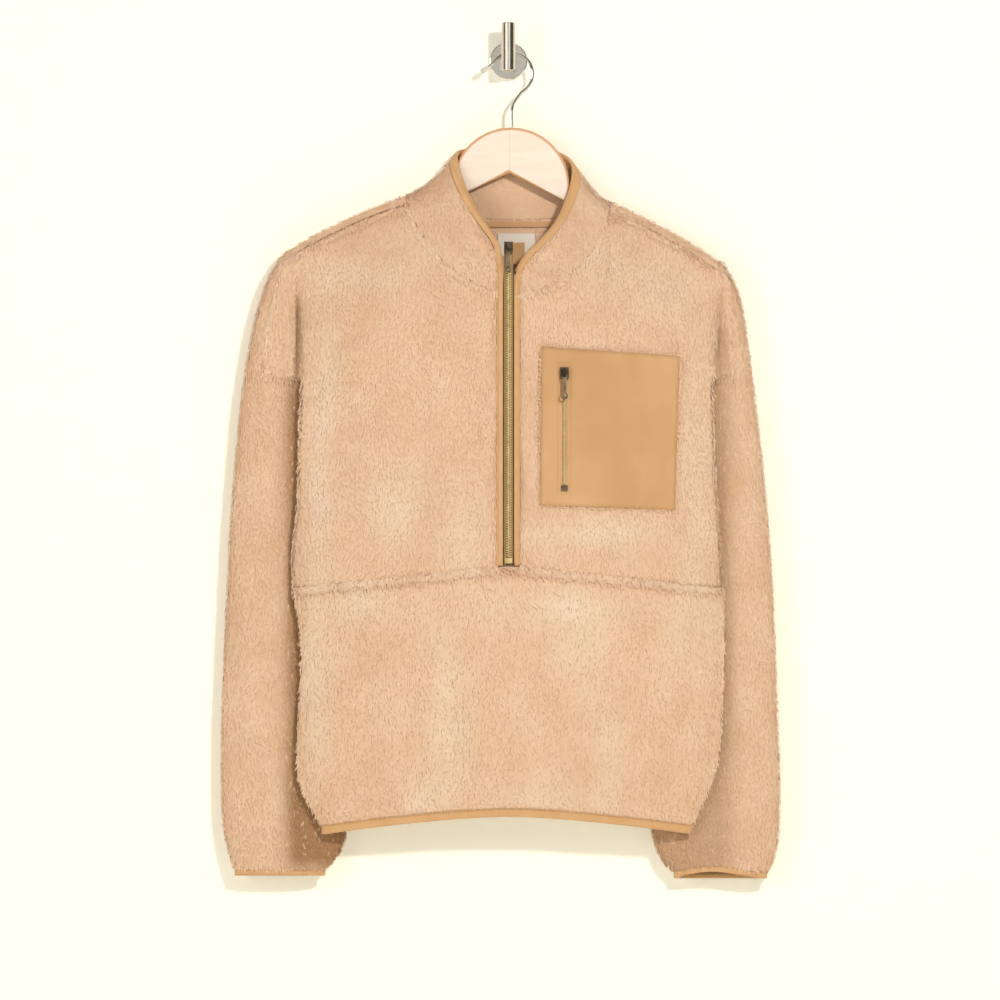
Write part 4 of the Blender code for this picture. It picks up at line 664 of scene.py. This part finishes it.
def pile(mesh, node, seam, count, seed):
    """Tufts of pile on a panel's outside, over its seams and round the neck inside it, as one mesh."""
    rng = np.random.default_rng(seed)
    mesh.calc_loop_triangles()
    corners = np.empty(len(mesh.loop_triangles) * 3, dtype=np.int32)
    mesh.loop_triangles.foreach_get("vertices", corners)
    corners = corners.reshape(-1, 3)
    points, normals = points_of(mesh), normals_of(mesh)
    a, b, c = (points[corners[:, k]] for k in range(3))
    cross = np.cross(b - a, c - a)
    area = np.linalg.norm(cross, axis=1) / 2
    middle = (a + b + c) / 3
    score = np.sum(outward(node, middle) * unit(cross), axis=1)
    seen = np.where(middle[:, 1] < -0.024, 1.0, 0.5)
    neck = (np.abs(middle[:, 0]) < 0.13) & (middle[:, 2] > -0.27)
    weight = area * seen * ((score > -0.3) + 1.6 * neck * (score <= -0.3))
    pick = rng.choice(len(corners), size=count, p=weight / weight.sum())
    u, v = rng.random(count), rng.random(count)
    flip = u + v > 1
    u, v = np.where(flip, 1 - u, u), np.where(flip, 1 - v, v)
    w = 1 - u - v
    shares = (w, u, v)
    root = sum(points[corners[pick, k]] * s[:, None] for k, s in enumerate(shares))
    normal = unit(sum(normals[corners[pick, k]] * s[:, None] for k, s in enumerate(shares)))
    places, facing = seam
    inner = np.concatenate([score[pick] < -0.3, np.zeros(len(places), dtype=bool)])
    root = np.concatenate([root, places - facing * 0.8 * PILE_OUT * MM])
    normal = np.concatenate([normal, facing])
    bridge = np.arange(len(root)) >= count
    count = len(root)
    tree = tree_of(places.tolist())
    nearest = [tree.find(place) for place in root.tolist()]
    far = np.array([row[2] for row in nearest]) / MM
    seam = np.exp(-((far / SEAM_REACH) ** 2)) * np.where(inner, 0.0, 1.0)
    normal = unit(normal * (1 - seam[:, None]) + facing[[row[1] for row in nearest]] * 1.5 * seam[:, None])
    lie = np.zeros_like(root)
    lie[:, 2] = -1.0
    lie[:, 0] = 0.45 * ripples(root, 44.0, 11) + 0.15 * ripples(root, 12.0, 12)
    lie[:, 1] = 0.2 * ripples(root, 12.0, 13)
    lie += rng.normal(scale=0.22, size=lie.shape) * np.where(bridge, 1.6, 1.0)[:, None]
    lie -= normal * np.sum(lie * normal, axis=1, keepdims=True)
    lie = unit(lie)
    turned = smoothstep(0.75, 0.2, np.abs(normal[:, 1])) * np.where(inner, 0.0, 1.0)
    patch = 0.5 + 0.5 * ripples(root, 11.0, 14)
    length = TUFT_LENGTH * MM * rng.uniform(0.55, 1.2, count) * np.where(inner, 0.6, 1.0)
    length *= 1 - 0.25 * turned
    height = PILE_OUT * MM * rng.uniform(0.6, 0.95, count) * (0.9 + 0.12 * patch) * np.where(inner, 0.5, 1.0)
    height *= (1 + 0.7 * turned * rng.random(count)) * np.where(bridge, 0.35, 1.0)
    root -= lie * (0.45 * length * bridge)[:, None]
    width = TUFT_WIDTH * MM * rng.uniform(0.6, 1.3, count) * (1 - 0.3 * turned)
    shade = np.clip(0.5 * patch + 0.25 + rng.normal(scale=0.2, size=count), 0, 1)
    # paler pile where it is brushed up and along seams; the turned share is painted sheen, a pale rim where
    # the surface turns side-on
    nap_and_rim_sheen = np.clip(nap_share(node, root) + 0.45 * turned + 0.28 * seam, 0.0, 0.9)
    # the last value is painted shade in the folds beside the body's edge
    return tuft_mesh(node + "_pile", rng, root, normal, lie, length, height, width,
                     {"lock": shade, "nap_and_rim_sheen": nap_and_rim_sheen, "fold_shade": fold_shadow_share(node, root)})


def tuft_mesh(name, rng, root, normal, lie, length, height, width, values):
    """A mesh of tufts, each a bent leaf of two triangles, with one value of every attribute per tuft."""
    count = len(root)
    across = unit(np.cross(normal, lie) + normal * rng.normal(scale=0.2, size=(count, 1)))
    base = root - normal * TUFT_SINK * MM
    waist = base + lie * (0.5 * length)[:, None] + normal * (0.8 * height)[:, None]
    tip = base + lie * length[:, None] + normal * height[:, None] * 0.95
    left = waist - across * (0.5 * width)[:, None]
    right = waist + across * (0.5 * width)[:, None]
    verts = np.stack([base, left, right, tip], axis=1).reshape(-1, 3)
    start = np.arange(count)[:, None] * 4
    faces = np.concatenate([start + [0, 1, 2], start + [1, 3, 2]], axis=1).reshape(-1, 3)
    tufts = bpy.data.meshes.new(name)
    tufts.vertices.add(len(verts))
    tufts.vertices.foreach_set("co", verts.astype(np.float32).ravel())
    tufts.loops.add(faces.size)
    tufts.loops.foreach_set("vertex_index", faces.astype(np.int32).ravel())
    tufts.polygons.add(len(faces))
    tufts.polygons.foreach_set("loop_start", np.arange(0, faces.size, 3, dtype=np.int32))
    tufts.polygons.foreach_set("use_smooth", np.ones(len(faces), dtype=bool))
    tufts.update()
    along = np.tile(np.array([0.0, 0.6, 0.6, 1.0], dtype=np.float32), count)
    tufts.attributes.new("along", "FLOAT", "POINT").data.foreach_set("value", along)
    for key, row in values.items():
        data = tufts.attributes.new(key, "FLOAT", "POINT").data
        data.foreach_set("value", np.repeat(row.astype(np.float32), 4))
    leaf = unit(np.cross(lie, across))
    leaf *= np.sign(np.sum(leaf * normal, axis=1, keepdims=True))
    soft = unit(normal * 0.9 + leaf * 0.16 + rng.normal(scale=0.045, size=leaf.shape))
    tufts.normals_split_custom_set_from_vertices(np.repeat(soft, 4, axis=0))
    return tufts


# Brushed-up patches of the front, where the pile is paler: x, z, half width, half height, share
NAP = (
    (-150, -215, 40, 22, 0.35), (-70, -170, 26, 30, 0.3), (-110, -440, 36, 40, 0.45),
    (-40, -470, 24, 46, 0.35),
    (-60, -640, 20, 90, 0.4), (-150, -540, 40, 24, 0.35), (60, -545, 50, 16, 0.5), (70, -580, 22, 34, 0.4),
    (96, -700, 18, 70, 0.35), (60, -470, 60, 16, 0.4), (120, -470, 40, 14, 0.35), (30, -740, 30, 22, 0.4),
    (-80, -730, 34, 26, 0.3), (150, -230, 40, 26, 0.3), (190, -400, 16, 90, 0.35), (180, -560, 26, 60, 0.3),
    (-180, -330, 14, 60, 0.5), (-190, -430, 12, 90, 0.5), (-195, -620, 14, 90, 0.45),
    (100, -200, 36, 30, 0.25),
)


def nap_share(node, points):
    """How far the pile is brushed up at a panel's points, from 0 to 1."""
    share = 0.12 + 0.12 * ripples(points, 40.0, 31)
    if node.startswith("front"):
        x, z = points[:, 0] / MM, points[:, 2] / MM
        for cx, cz, half_x, half_z, more in NAP:
            share += more * np.exp(-(((x - cx) / half_x) ** 2 + ((z - cz) / half_z) ** 2))
    return np.clip(share, 0.0, 0.8)


def sleeve_strips(side):
    """The solids of a sleeve, in their order around it."""
    return ["sleeve_%s_%s" % (side, part) for part in ("outer_fold", "front", "inner_fold", "back")]


# Panel: its solids, number of tufts, the flat cut it was sewn from, its area in square metres
PANELS = {
    "front_right": (("front_right",), 47000, (0.262, 0.365), 0.074),
    "front_left": (("front_left",), 45000, (0.258, 0.360), 0.070),
    "front_lower": (("front_lower",), 70000, (0.440, 0.262), 0.104),
    "back": (("back",), 40000, (0.520, 0.660), 0.280),
    "sleeve_right": (sleeve_strips("right"), 54000, (0.270, 0.600), 0.131),
    "sleeve_left": (sleeve_strips("left"), 54000, (0.270, 0.590), 0.133),
    "collar": (("collar",), 30000, (0.420, 0.075), 0.0245),
}


def dress_fleece():
    backings = {}
    seams = seams_of({node: outer_edges(node, row[0]) for node, row in PANELS.items()})
    for seed, (node, (solids, count, flat, area)) in enumerate(PANELS.items()):
        mesh = panel(node, solids)
        shell = new_piece(node + "_backing", mesh, BACKING)
        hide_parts(*solids)
        fur = pile(mesh, node, seams[node], count, seed + 21)
        tufts = new_piece(node + "_pile", fur, FLEECE)
        backings[node] = shell
    return backings


# Bindings, tapes and labels

def rounded(node, name, material, levels=2, body=BODY):
    """A softer, finer form of a node: its own surface, rounded by subdivision."""
    copy = node_copy(node, hold=0.6)
    mesh = bpy.data.meshes.new(name)
    copy.to_mesh(mesh)
    copy.free()
    subdivided(mesh, levels)
    points = points_of(mesh)
    points[:, 2] += cuff_lift(node, points)
    set_points(mesh, points)
    thing = new_piece(name, mesh, material, body)
    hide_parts(node)
    return thing


def surface(*things):
    """A search tree over the surfaces of finished pieces or nodes."""
    points, faces = [], []
    for thing in things:
        start = len(points)
        points += [v.co.copy() for v in thing.data.vertices]
        faces += [[start + n for n in face.vertices] for face in thing.data.polygons]
    return BVHTree.FromPolygons(points, faces)


def front_of(tree, x, z):
    """The first surface in front at a place, as a point and its normal, or nothing."""
    hit = tree.ray_cast(Vector((x * MM, -0.3, z * MM)), Vector((0, 1, 0)))
    return (hit[0], hit[1]) if hit[0] is not None else None


def repeated(name, unit_mesh, places, material):
    """One mesh of many copies of a small one, each by a matrix."""
    points = points_of(unit_mesh)
    faces = [tuple(face.vertices) for face in unit_mesh.polygons]
    verts, polygons = [], []
    for k, place in enumerate(places):
        turn, shift = np.array(place)[:3, :3], np.array(place)[:3, 3]
        verts.append(points @ turn.T + shift)
        polygons += [tuple(n + k * len(points) for n in face) for face in faces]
    mesh = bpy.data.meshes.new(name)
    mesh.from_pydata(np.concatenate(verts).tolist(), [], polygons)
    mesh.shade_smooth()
    mesh.set_sharp_from_angle(angle=math.radians(40))
    return new_piece(name, mesh, material)


def small_block(size, bevel):
    """A block with rounded edges about the origin, size in millimetres."""
    bpy.ops.object.select_all(action="DESELECT")
    bpy.ops.mesh.primitive_cube_add(size=1.0)
    thing = bpy.context.object
    thing.scale = [side * MM for side in size]
    bpy.ops.object.transform_apply(location=False, rotation=False, scale=True)
    edges = thing.modifiers.new("edges", "BEVEL")
    edges.width, edges.segments = bevel * MM, 2
    bpy.ops.object.modifier_apply(modifier=edges.name)
    mesh = thing.data
    bpy.data.objects.remove(thing)
    return mesh


def stitch_places(line, pitch, tree, lift=0.15):
    """Matrices for stitches along a line of x and z points, laid on the surface in front."""
    places = []
    lengths = [math.dist(a, b) for a, b in zip(line, line[1:])]
    total = sum(lengths)
    for k in range(int(total / pitch)):
        along = (k + 0.5) * pitch
        for (a, b), length in zip(zip(line, line[1:]), lengths):
            if along <= length:
                break
            along -= length
        t = min(along / length, 1.0)
        x, z = a[0] + (b[0] - a[0]) * t, a[1] + (b[1] - a[1]) * t
        hit = front_of(tree, x, z)
        if hit is None:
            continue
        point, normal = hit
        if normal.y > 0:
            normal = -normal
        run = Vector((b[0] - a[0], 0.0, b[1] - a[1])).normalized()
        run = (run - normal * run.dot(normal)).normalized()
        side = normal.cross(run)
        turn = Matrix((run, side, normal)).transposed().to_4x4()
        turn.translation = point + normal * lift * MM
        places.append(turn)
    return places


# Across a ribbon: share of its half width, and how far it bulges, in millimetres
RIBBON = ((-1.0, -0.7), (-0.9, -0.1), (0.0, 0.0), (0.9, -0.1), (1.0, -0.7))


def ribbon(name, line, half, tree, lift, material):
    """A flat band along a line of x and z points, laid in front of a surface."""
    rows, last = [], None
    for k, (x, z) in enumerate(line):
        ax, az = line[max(k - 1, 0)]
        bx, bz = line[min(k + 1, len(line) - 1)]
        size = math.hypot(bx - ax, bz - az)
        side = ((bz - az) / size, -(bx - ax) / size)
        hits = [front_of(tree, x + side[0] * s * half, z + side[1] * s * half) for s in (-0.6, 0.0, 0.6)]
        depths = [hit[0].y for hit in hits if hit is not None]
        last = min(depths) if depths else last
        if last is None:
            continue
        row = []
        for s, bulge in RIBBON:
            place = (x + side[0] * s * half, last / MM - lift - bulge, z + side[1] * s * half)
            row.append([value * MM for value in place])
        rows.append(row)
    verts = [point for row in rows for point in row]
    wide = len(RIBBON)
    starts = [k * wide + j for k in range(len(rows) - 1) for j in range(wide - 1)]
    faces = [(n, n + 1, n + wide + 1, n + wide) for n in starts]
    mesh = bpy.data.meshes.new(name)
    mesh.from_pydata(verts, [], faces)
    mesh.shade_smooth()
    return new_piece(name, mesh, material)


STITCH = (2.1, 0.55, 0.5)


def hem_height(x):
    return -747.0 - 19.0 * (min(abs(x), 195.0) / 195.0) ** 1.4


# Rows of stitches along the collar's tape: points of x and z
COLLAR_ROWS = (
    [(-56.5, -104), (-55.4, -106), (-45.5, -128), (-32, -152), (-22, -165), (-14.5, -177), (-9.6, -190)],
    [(66.6, -112), (67, -118), (59, -134), (53.5, -148), (45, -161), (34.5, -172), (24, -183),
     (14, -196)],
)

# Where the collar's tape runs on into the zip's: points of x and z
JOINS = {
    "tape_join_right": ((-13.4, -181), (-11.2, -188), (-9.9, -195), (-9.5, -202), (-9.7, -210)),
    "tape_join_left": ((21.0, -195), (17.2, -200.5), (13.8, -206), (11.2, -212), (9.7, -219), (9.3, -227)),
}


def dress_bindings():
    pieces = {}
    for node in ("collar_binding", "placket_binding_right", "placket_binding_left", "hem_binding",
                 "cuff_binding_right", "cuff_binding_left", "back_neck_tape"):
        pieces[node] = rounded(node, node + "_tape", TAPE)
    tapes = ("collar_binding", "placket_binding_right", "placket_binding_left")
    edges = surface(*[pieces[node] for node in tapes])
    for name, line in JOINS.items():
        ribbon(name, line, 3.3, edges, 0.15, TAPE)
    stitch = small_block(STITCH, 0.2)
    rows = {
        "placket": ([[(-10.3, -502), (-10.3, -204)], [(10.3, -502), (10.3, -218)]],
                    ("placket_binding_right", "placket_binding_left")),
        "hem": ([[(x, hem_height(x) - 1.8) for x in range(-184, 181, 7)]], ("hem_binding",)),
        "collar": (COLLAR_ROWS, ("collar_binding",)),
        "cuff": ([[(x, -815.2) for x in (-272, -240, -200)], [(x, -815.2) for x in range(172, 256, 6)]],
                 ("cuff_binding_right", "cuff_binding_left")),
    }
    for name, (lines, nodes) in rows.items():
        tree = surface(*[pieces[node] for node in nodes])
        places = [place for line in lines for place in stitch_places(line, 3.1, tree)]
        if places:
            repeated(name + "_stitches", stitch, places, THREAD)
    return pieces


# Zips

def teeth(name, tree, middle, low, high, pitch, size):
    """Two rows of interlocked teeth on the front of a chain."""
    tooth = small_block(size, 0.28)
    places = []
    for k in range(int((high - low) / pitch * 2)):
        z = low + size[2] / 2 + k * pitch / 2
        side = -1 if k % 2 else 1
        hit = front_of(tree, middle, z)
        if hit is None:
            continue
        x, y = middle + side * size[0] * 0.3, hit[0].y / MM + size[1] / 2
        places.append(Matrix.Translation(Vector((x, y, z)) * MM))
    return repeated(name, tooth, places, BRASS)


def dress_zips():
    """Teeth on both chains, the dark tape behind the pocket's, and softer edges on the metal."""
    chain = teeth("zip_teeth", surface(NODES["zip_chain"]), 0.0, *ZIP_ENDS, TOOTH_PITCH, TOOTH)
    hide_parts("zip_chain")
    chain = teeth("pocket_zip_teeth", surface(NODES["pocket_chain"]), POCKET_ZIP_X, *POCKET_ZIP_ENDS,
                  POCKET_TOOTH_PITCH, POCKET_TOOTH)
    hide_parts("pocket_chain")
    line = [(POCKET_ZIP_X, z) for z in np.arange(-428.0, -308.0, 4.0)]
    ribbon("pocket_zip_tape", line, 2.2, surface(NODES["pocket_chain"]), -0.9, POCKET_TAPE)
    for node in ("zip_slider", "zip_pull", "pocket_slider", "pocket_pull", "zip_stop", "pocket_stop"):
        edges = NODES[node].modifiers.new("edges", "BEVEL")
        edges.width, edges.segments, edges.limit_method = 0.35 * MM, 2, "ANGLE"


# Pocket

POCKET = ((33.0, -287.0), (171.0, -296.0), (166.5, -450.0), (31.8, -445.0))  # corners, from top inner


def dress_pocket(backings):
    """The woven patch: turned edges, a stitched row inside them and soft creases."""
    copy = node_copy("pocket_patch", hold=1.0)
    corner = copy.verts.layers.float.new("crease_vert")
    for vert in copy.verts:
        if len(vert.link_edges) == 3:
            vert[corner] = 1.0
    mesh = bpy.data.meshes.new("pocket_cloth")
    copy.to_mesh(mesh)
    copy.free()
    subdivided(mesh, 2)
    points = points_of(mesh)
    flat = points[:, (0, 2)] / MM
    inset = np.full(len(points), 1e9)
    for a, b in zip(POCKET, POCKET[1:] + POCKET[:1]):
        a, b = np.array(a), np.array(b)
        edge = (b - a) / np.linalg.norm(b - a)
        inset = np.minimum(inset, np.abs((flat - a) @ np.array([-edge[1], edge[0]])))
    rim = 0.5 * smoothstep(5.5, 4.0, inset) - 0.35 * np.exp(-((inset - 5.0) / 0.8) ** 2)
    by_zip = np.maximum(np.abs(flat[:, 0] - POCKET_ZIP_X), np.abs(flat[:, 1] + 370.0) - 56.0)
    slack = 0.8 * ripples(points * np.array([1.0, 0.1, 0.6]), 60.0, 5) * smoothstep(4.0, 25.0, inset)
    slack *= smoothstep(4.0, 14.0, by_zip)
    points[:, 1] -= (rim + np.abs(slack) * 0.5) * MM
    set_points(mesh, points)
    patch = new_piece("pocket_cloth", mesh, POCKET_CLOTH)
    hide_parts("pocket_patch")
    cloth = surface(patch)
    top, bottom, left, right = -302.5, -434.0, 49.0, 62.5
    frame_line = [(left, bottom), (left, top), (right, top), (right, bottom), (left, bottom)]
    places = stitch_places(frame_line, 3.0, cloth, 0.05)
    repeated("pocket_zip_stitches", small_block((2.0, 0.4, 0.3), 0.12), places, THREAD)
    pocket_fringe(backings["front_left"], cloth)


def pocket_fringe(backing, cloth):
    """Pile that leans over the pocket's edges, unevenly."""
    rng = np.random.default_rng(77)
    fleece = surface(backing)
    roots, leans = [], []
    middle = np.mean(np.array(POCKET), axis=0)
    for a, b in zip(POCKET, POCKET[1:] + POCKET[:1]):
        a, b = np.array(a), np.array(b)
        for t in np.arange(0.0, 1.0, 0.7 / np.linalg.norm(b - a)):
            place = a + (b - a) * t
            inward = unit(np.array([middle - place]))[0]
            x, z = place - inward * rng.uniform(0.5, 3.5)
            hit = front_of(fleece, x, z)
            edge = front_of(cloth, *(place + inward * 2.0))
            if hit is None or edge is None:
                continue
            y = min(hit[0].y, edge[0].y + 0.001) - 0.0002
            roots.append((x * MM, y, z * MM))
            leans.append((inward[0] + rng.normal(scale=0.5), 0.0, inward[1] + rng.normal(scale=0.5) - 0.3))
    count = len(roots)
    normal = np.tile(np.array([0.0, -1.0, 0.0]), (count, 1))
    length, width = rng.uniform(2.5, 5.0, count) * MM, rng.uniform(0.6, 1.2, count) * MM
    lock, nap_and_rim_sheen = rng.uniform(0.0, 0.5, count), rng.uniform(0.0, 0.15, count)
    values = {"lock": lock, "nap_and_rim_sheen": nap_and_rim_sheen, "fold_shade": np.zeros(count)}
    mesh = tuft_mesh("pocket_edge_pile", rng, np.array(roots), normal, unit(np.array(leans)), length,
                     rng.uniform(0.7, 1.2, count) * MM, width, values)
    new_piece("pocket_edge_pile", mesh, FLEECE)


# Light, camera and wall

def area_light(name, place, target, size, power, tint="#ffffff"):
    data = bpy.data.lights.new(name, "AREA")
    data.shape, data.size, data.energy = "DISK", size, power
    data.color = colour(tint)[:3]
    light = bpy.data.objects.new(name, data)
    bpy.context.scene.collection.objects.link(light)
    light.location = place
    light.rotation_euler = (Vector(target) - Vector(place)).to_track_quat("-Z", "Y").to_euler()


def slab(name, low, high, material):
    """A thin block of the room, between two corners in metres."""
    bpy.ops.object.select_all(action="DESELECT")
    bpy.ops.mesh.primitive_cube_add(size=1.0, location=[(a + b) / 2 for a, b in zip(low, high)])
    thing = bpy.context.object
    thing.name, thing.scale = name, [b - a for a, b in zip(low, high)]
    thing.data.materials.append(material)


# The studio around, from left to right: bright walls with dark openings that metal reflects
STUDIO = ((0.0, "#b8a894"), (0.3, "#a39380"), (0.38, "#fffdf6"), (0.68, "#fffdf6"), (0.75, "#3a2e26"),
          (0.93, "#4a3e34"), (1.0, "#8a8074"))


def set_stage():
    """The floor, a wall that is seen from the front only, the studio around and two lamps."""
    paint = Paint("wall_warm_white", Roughness=0.9, Specular_IOR_Level=0.1)
    paint.set(paint.shader, Base_Color=paint.ramp(paint.noise(2.0, 2.0), (0.0, "#fdfdf4"), (1.0, "#fffff7")))
    slab("floor", (-3.0, -6.0, -1.32), (3.0, 0.02, -1.3), paint.material)
    paint = Paint("wall_bright_white", Roughness=0.9, Specular_IOR_Level=0.1, Emission_Strength=0.22,
                  Emission_Color=colour("#fffdea"))
    see = paint.math("SUBTRACT", 1.0, paint.add("NewGeometry", "Backfacing"))
    plaster = paint.ramp(paint.noise(2.0, 2.0), (0.0, "#f5f4e8"), (1.0, "#f7f6ea"))
    paint.set(paint.shader, Base_Color=plaster, Alpha=see)
    bpy.ops.mesh.primitive_plane_add(size=1.0, location=(0.0, 0.001, 0.35),
                                     rotation=(math.radians(90), 0, 0))
    wall = bpy.context.object
    wall.name, wall.scale = "wall", (6.0, 3.3, 1.0)
    wall.data.materials.append(paint.material)
    world = bpy.data.worlds.new("studio")
    bpy.context.scene.world = world
    world.use_nodes = True
    tree = world.node_tree
    back = tree.nodes["Background"]
    back.inputs["Strength"].default_value = 0.52
    split = tree.nodes.new("ShaderNodeSeparateXYZ")
    bands = tree.nodes.new("ShaderNodeValToRGB")
    shift = tree.nodes.new("ShaderNodeMath")
    shift.operation = "MULTIPLY_ADD"
    shift.inputs[1].default_value = shift.inputs[2].default_value = 0.5
    tree.links.new(tree.nodes.new("ShaderNodeTexCoord").outputs["Generated"], split.inputs[0])
    tree.links.new(split.outputs["X"], shift.inputs[0])
    tree.links.new(shift.outputs[0], bands.inputs["Fac"])
    tree.links.new(bands.outputs["Color"], back.inputs["Color"])
    elements = bands.color_ramp.elements
    while len(elements) < len(STUDIO):
        elements.new(0.5)
    for element, (place, code) in zip(elements, STUDIO):
        element.position, element.color = place, colour(code)
    area_light("key", (1.25, -4.0, 1.0), (0.0, 0.0, -0.45), 0.3, 88.0, "#fffaf4")
    area_light("fill", (-2.2, -3.2, 0.1), (0.0, 0.0, -0.5), 1.6, 26.0, "#fffaf6")
    bpy.context.scene.view_settings.view_transform = "Standard"


CAMERA_FAR = 18.0  # metres, so that depth hardly changes sizes
CAMERA_FOCUS = 0.05  # from the wall to the middle of the garment, where the view is 1 m wide


def set_camera():
    data = bpy.data.cameras.new("camera")
    camera = bpy.data.objects.new("camera", data)
    bpy.context.scene.collection.objects.link(camera)
    camera.location = (-0.0085, -CAMERA_FAR, -0.44)
    camera.rotation_euler = (math.radians(90), 0, 0)
    data.sensor_width, data.lens = 36.0, 36.0 * (CAMERA_FAR - CAMERA_FOCUS)
    bpy.context.scene.camera = camera


def main():
    set_stage()
    set_camera()
    for node, material in CARRIED.items():
        NODES[node].data.materials.clear()
        NODES[node].data.materials.append(material)
    backings = dress_fleece()
    dress_bindings()
    dress_zips()
    dress_pocket(backings)


main()
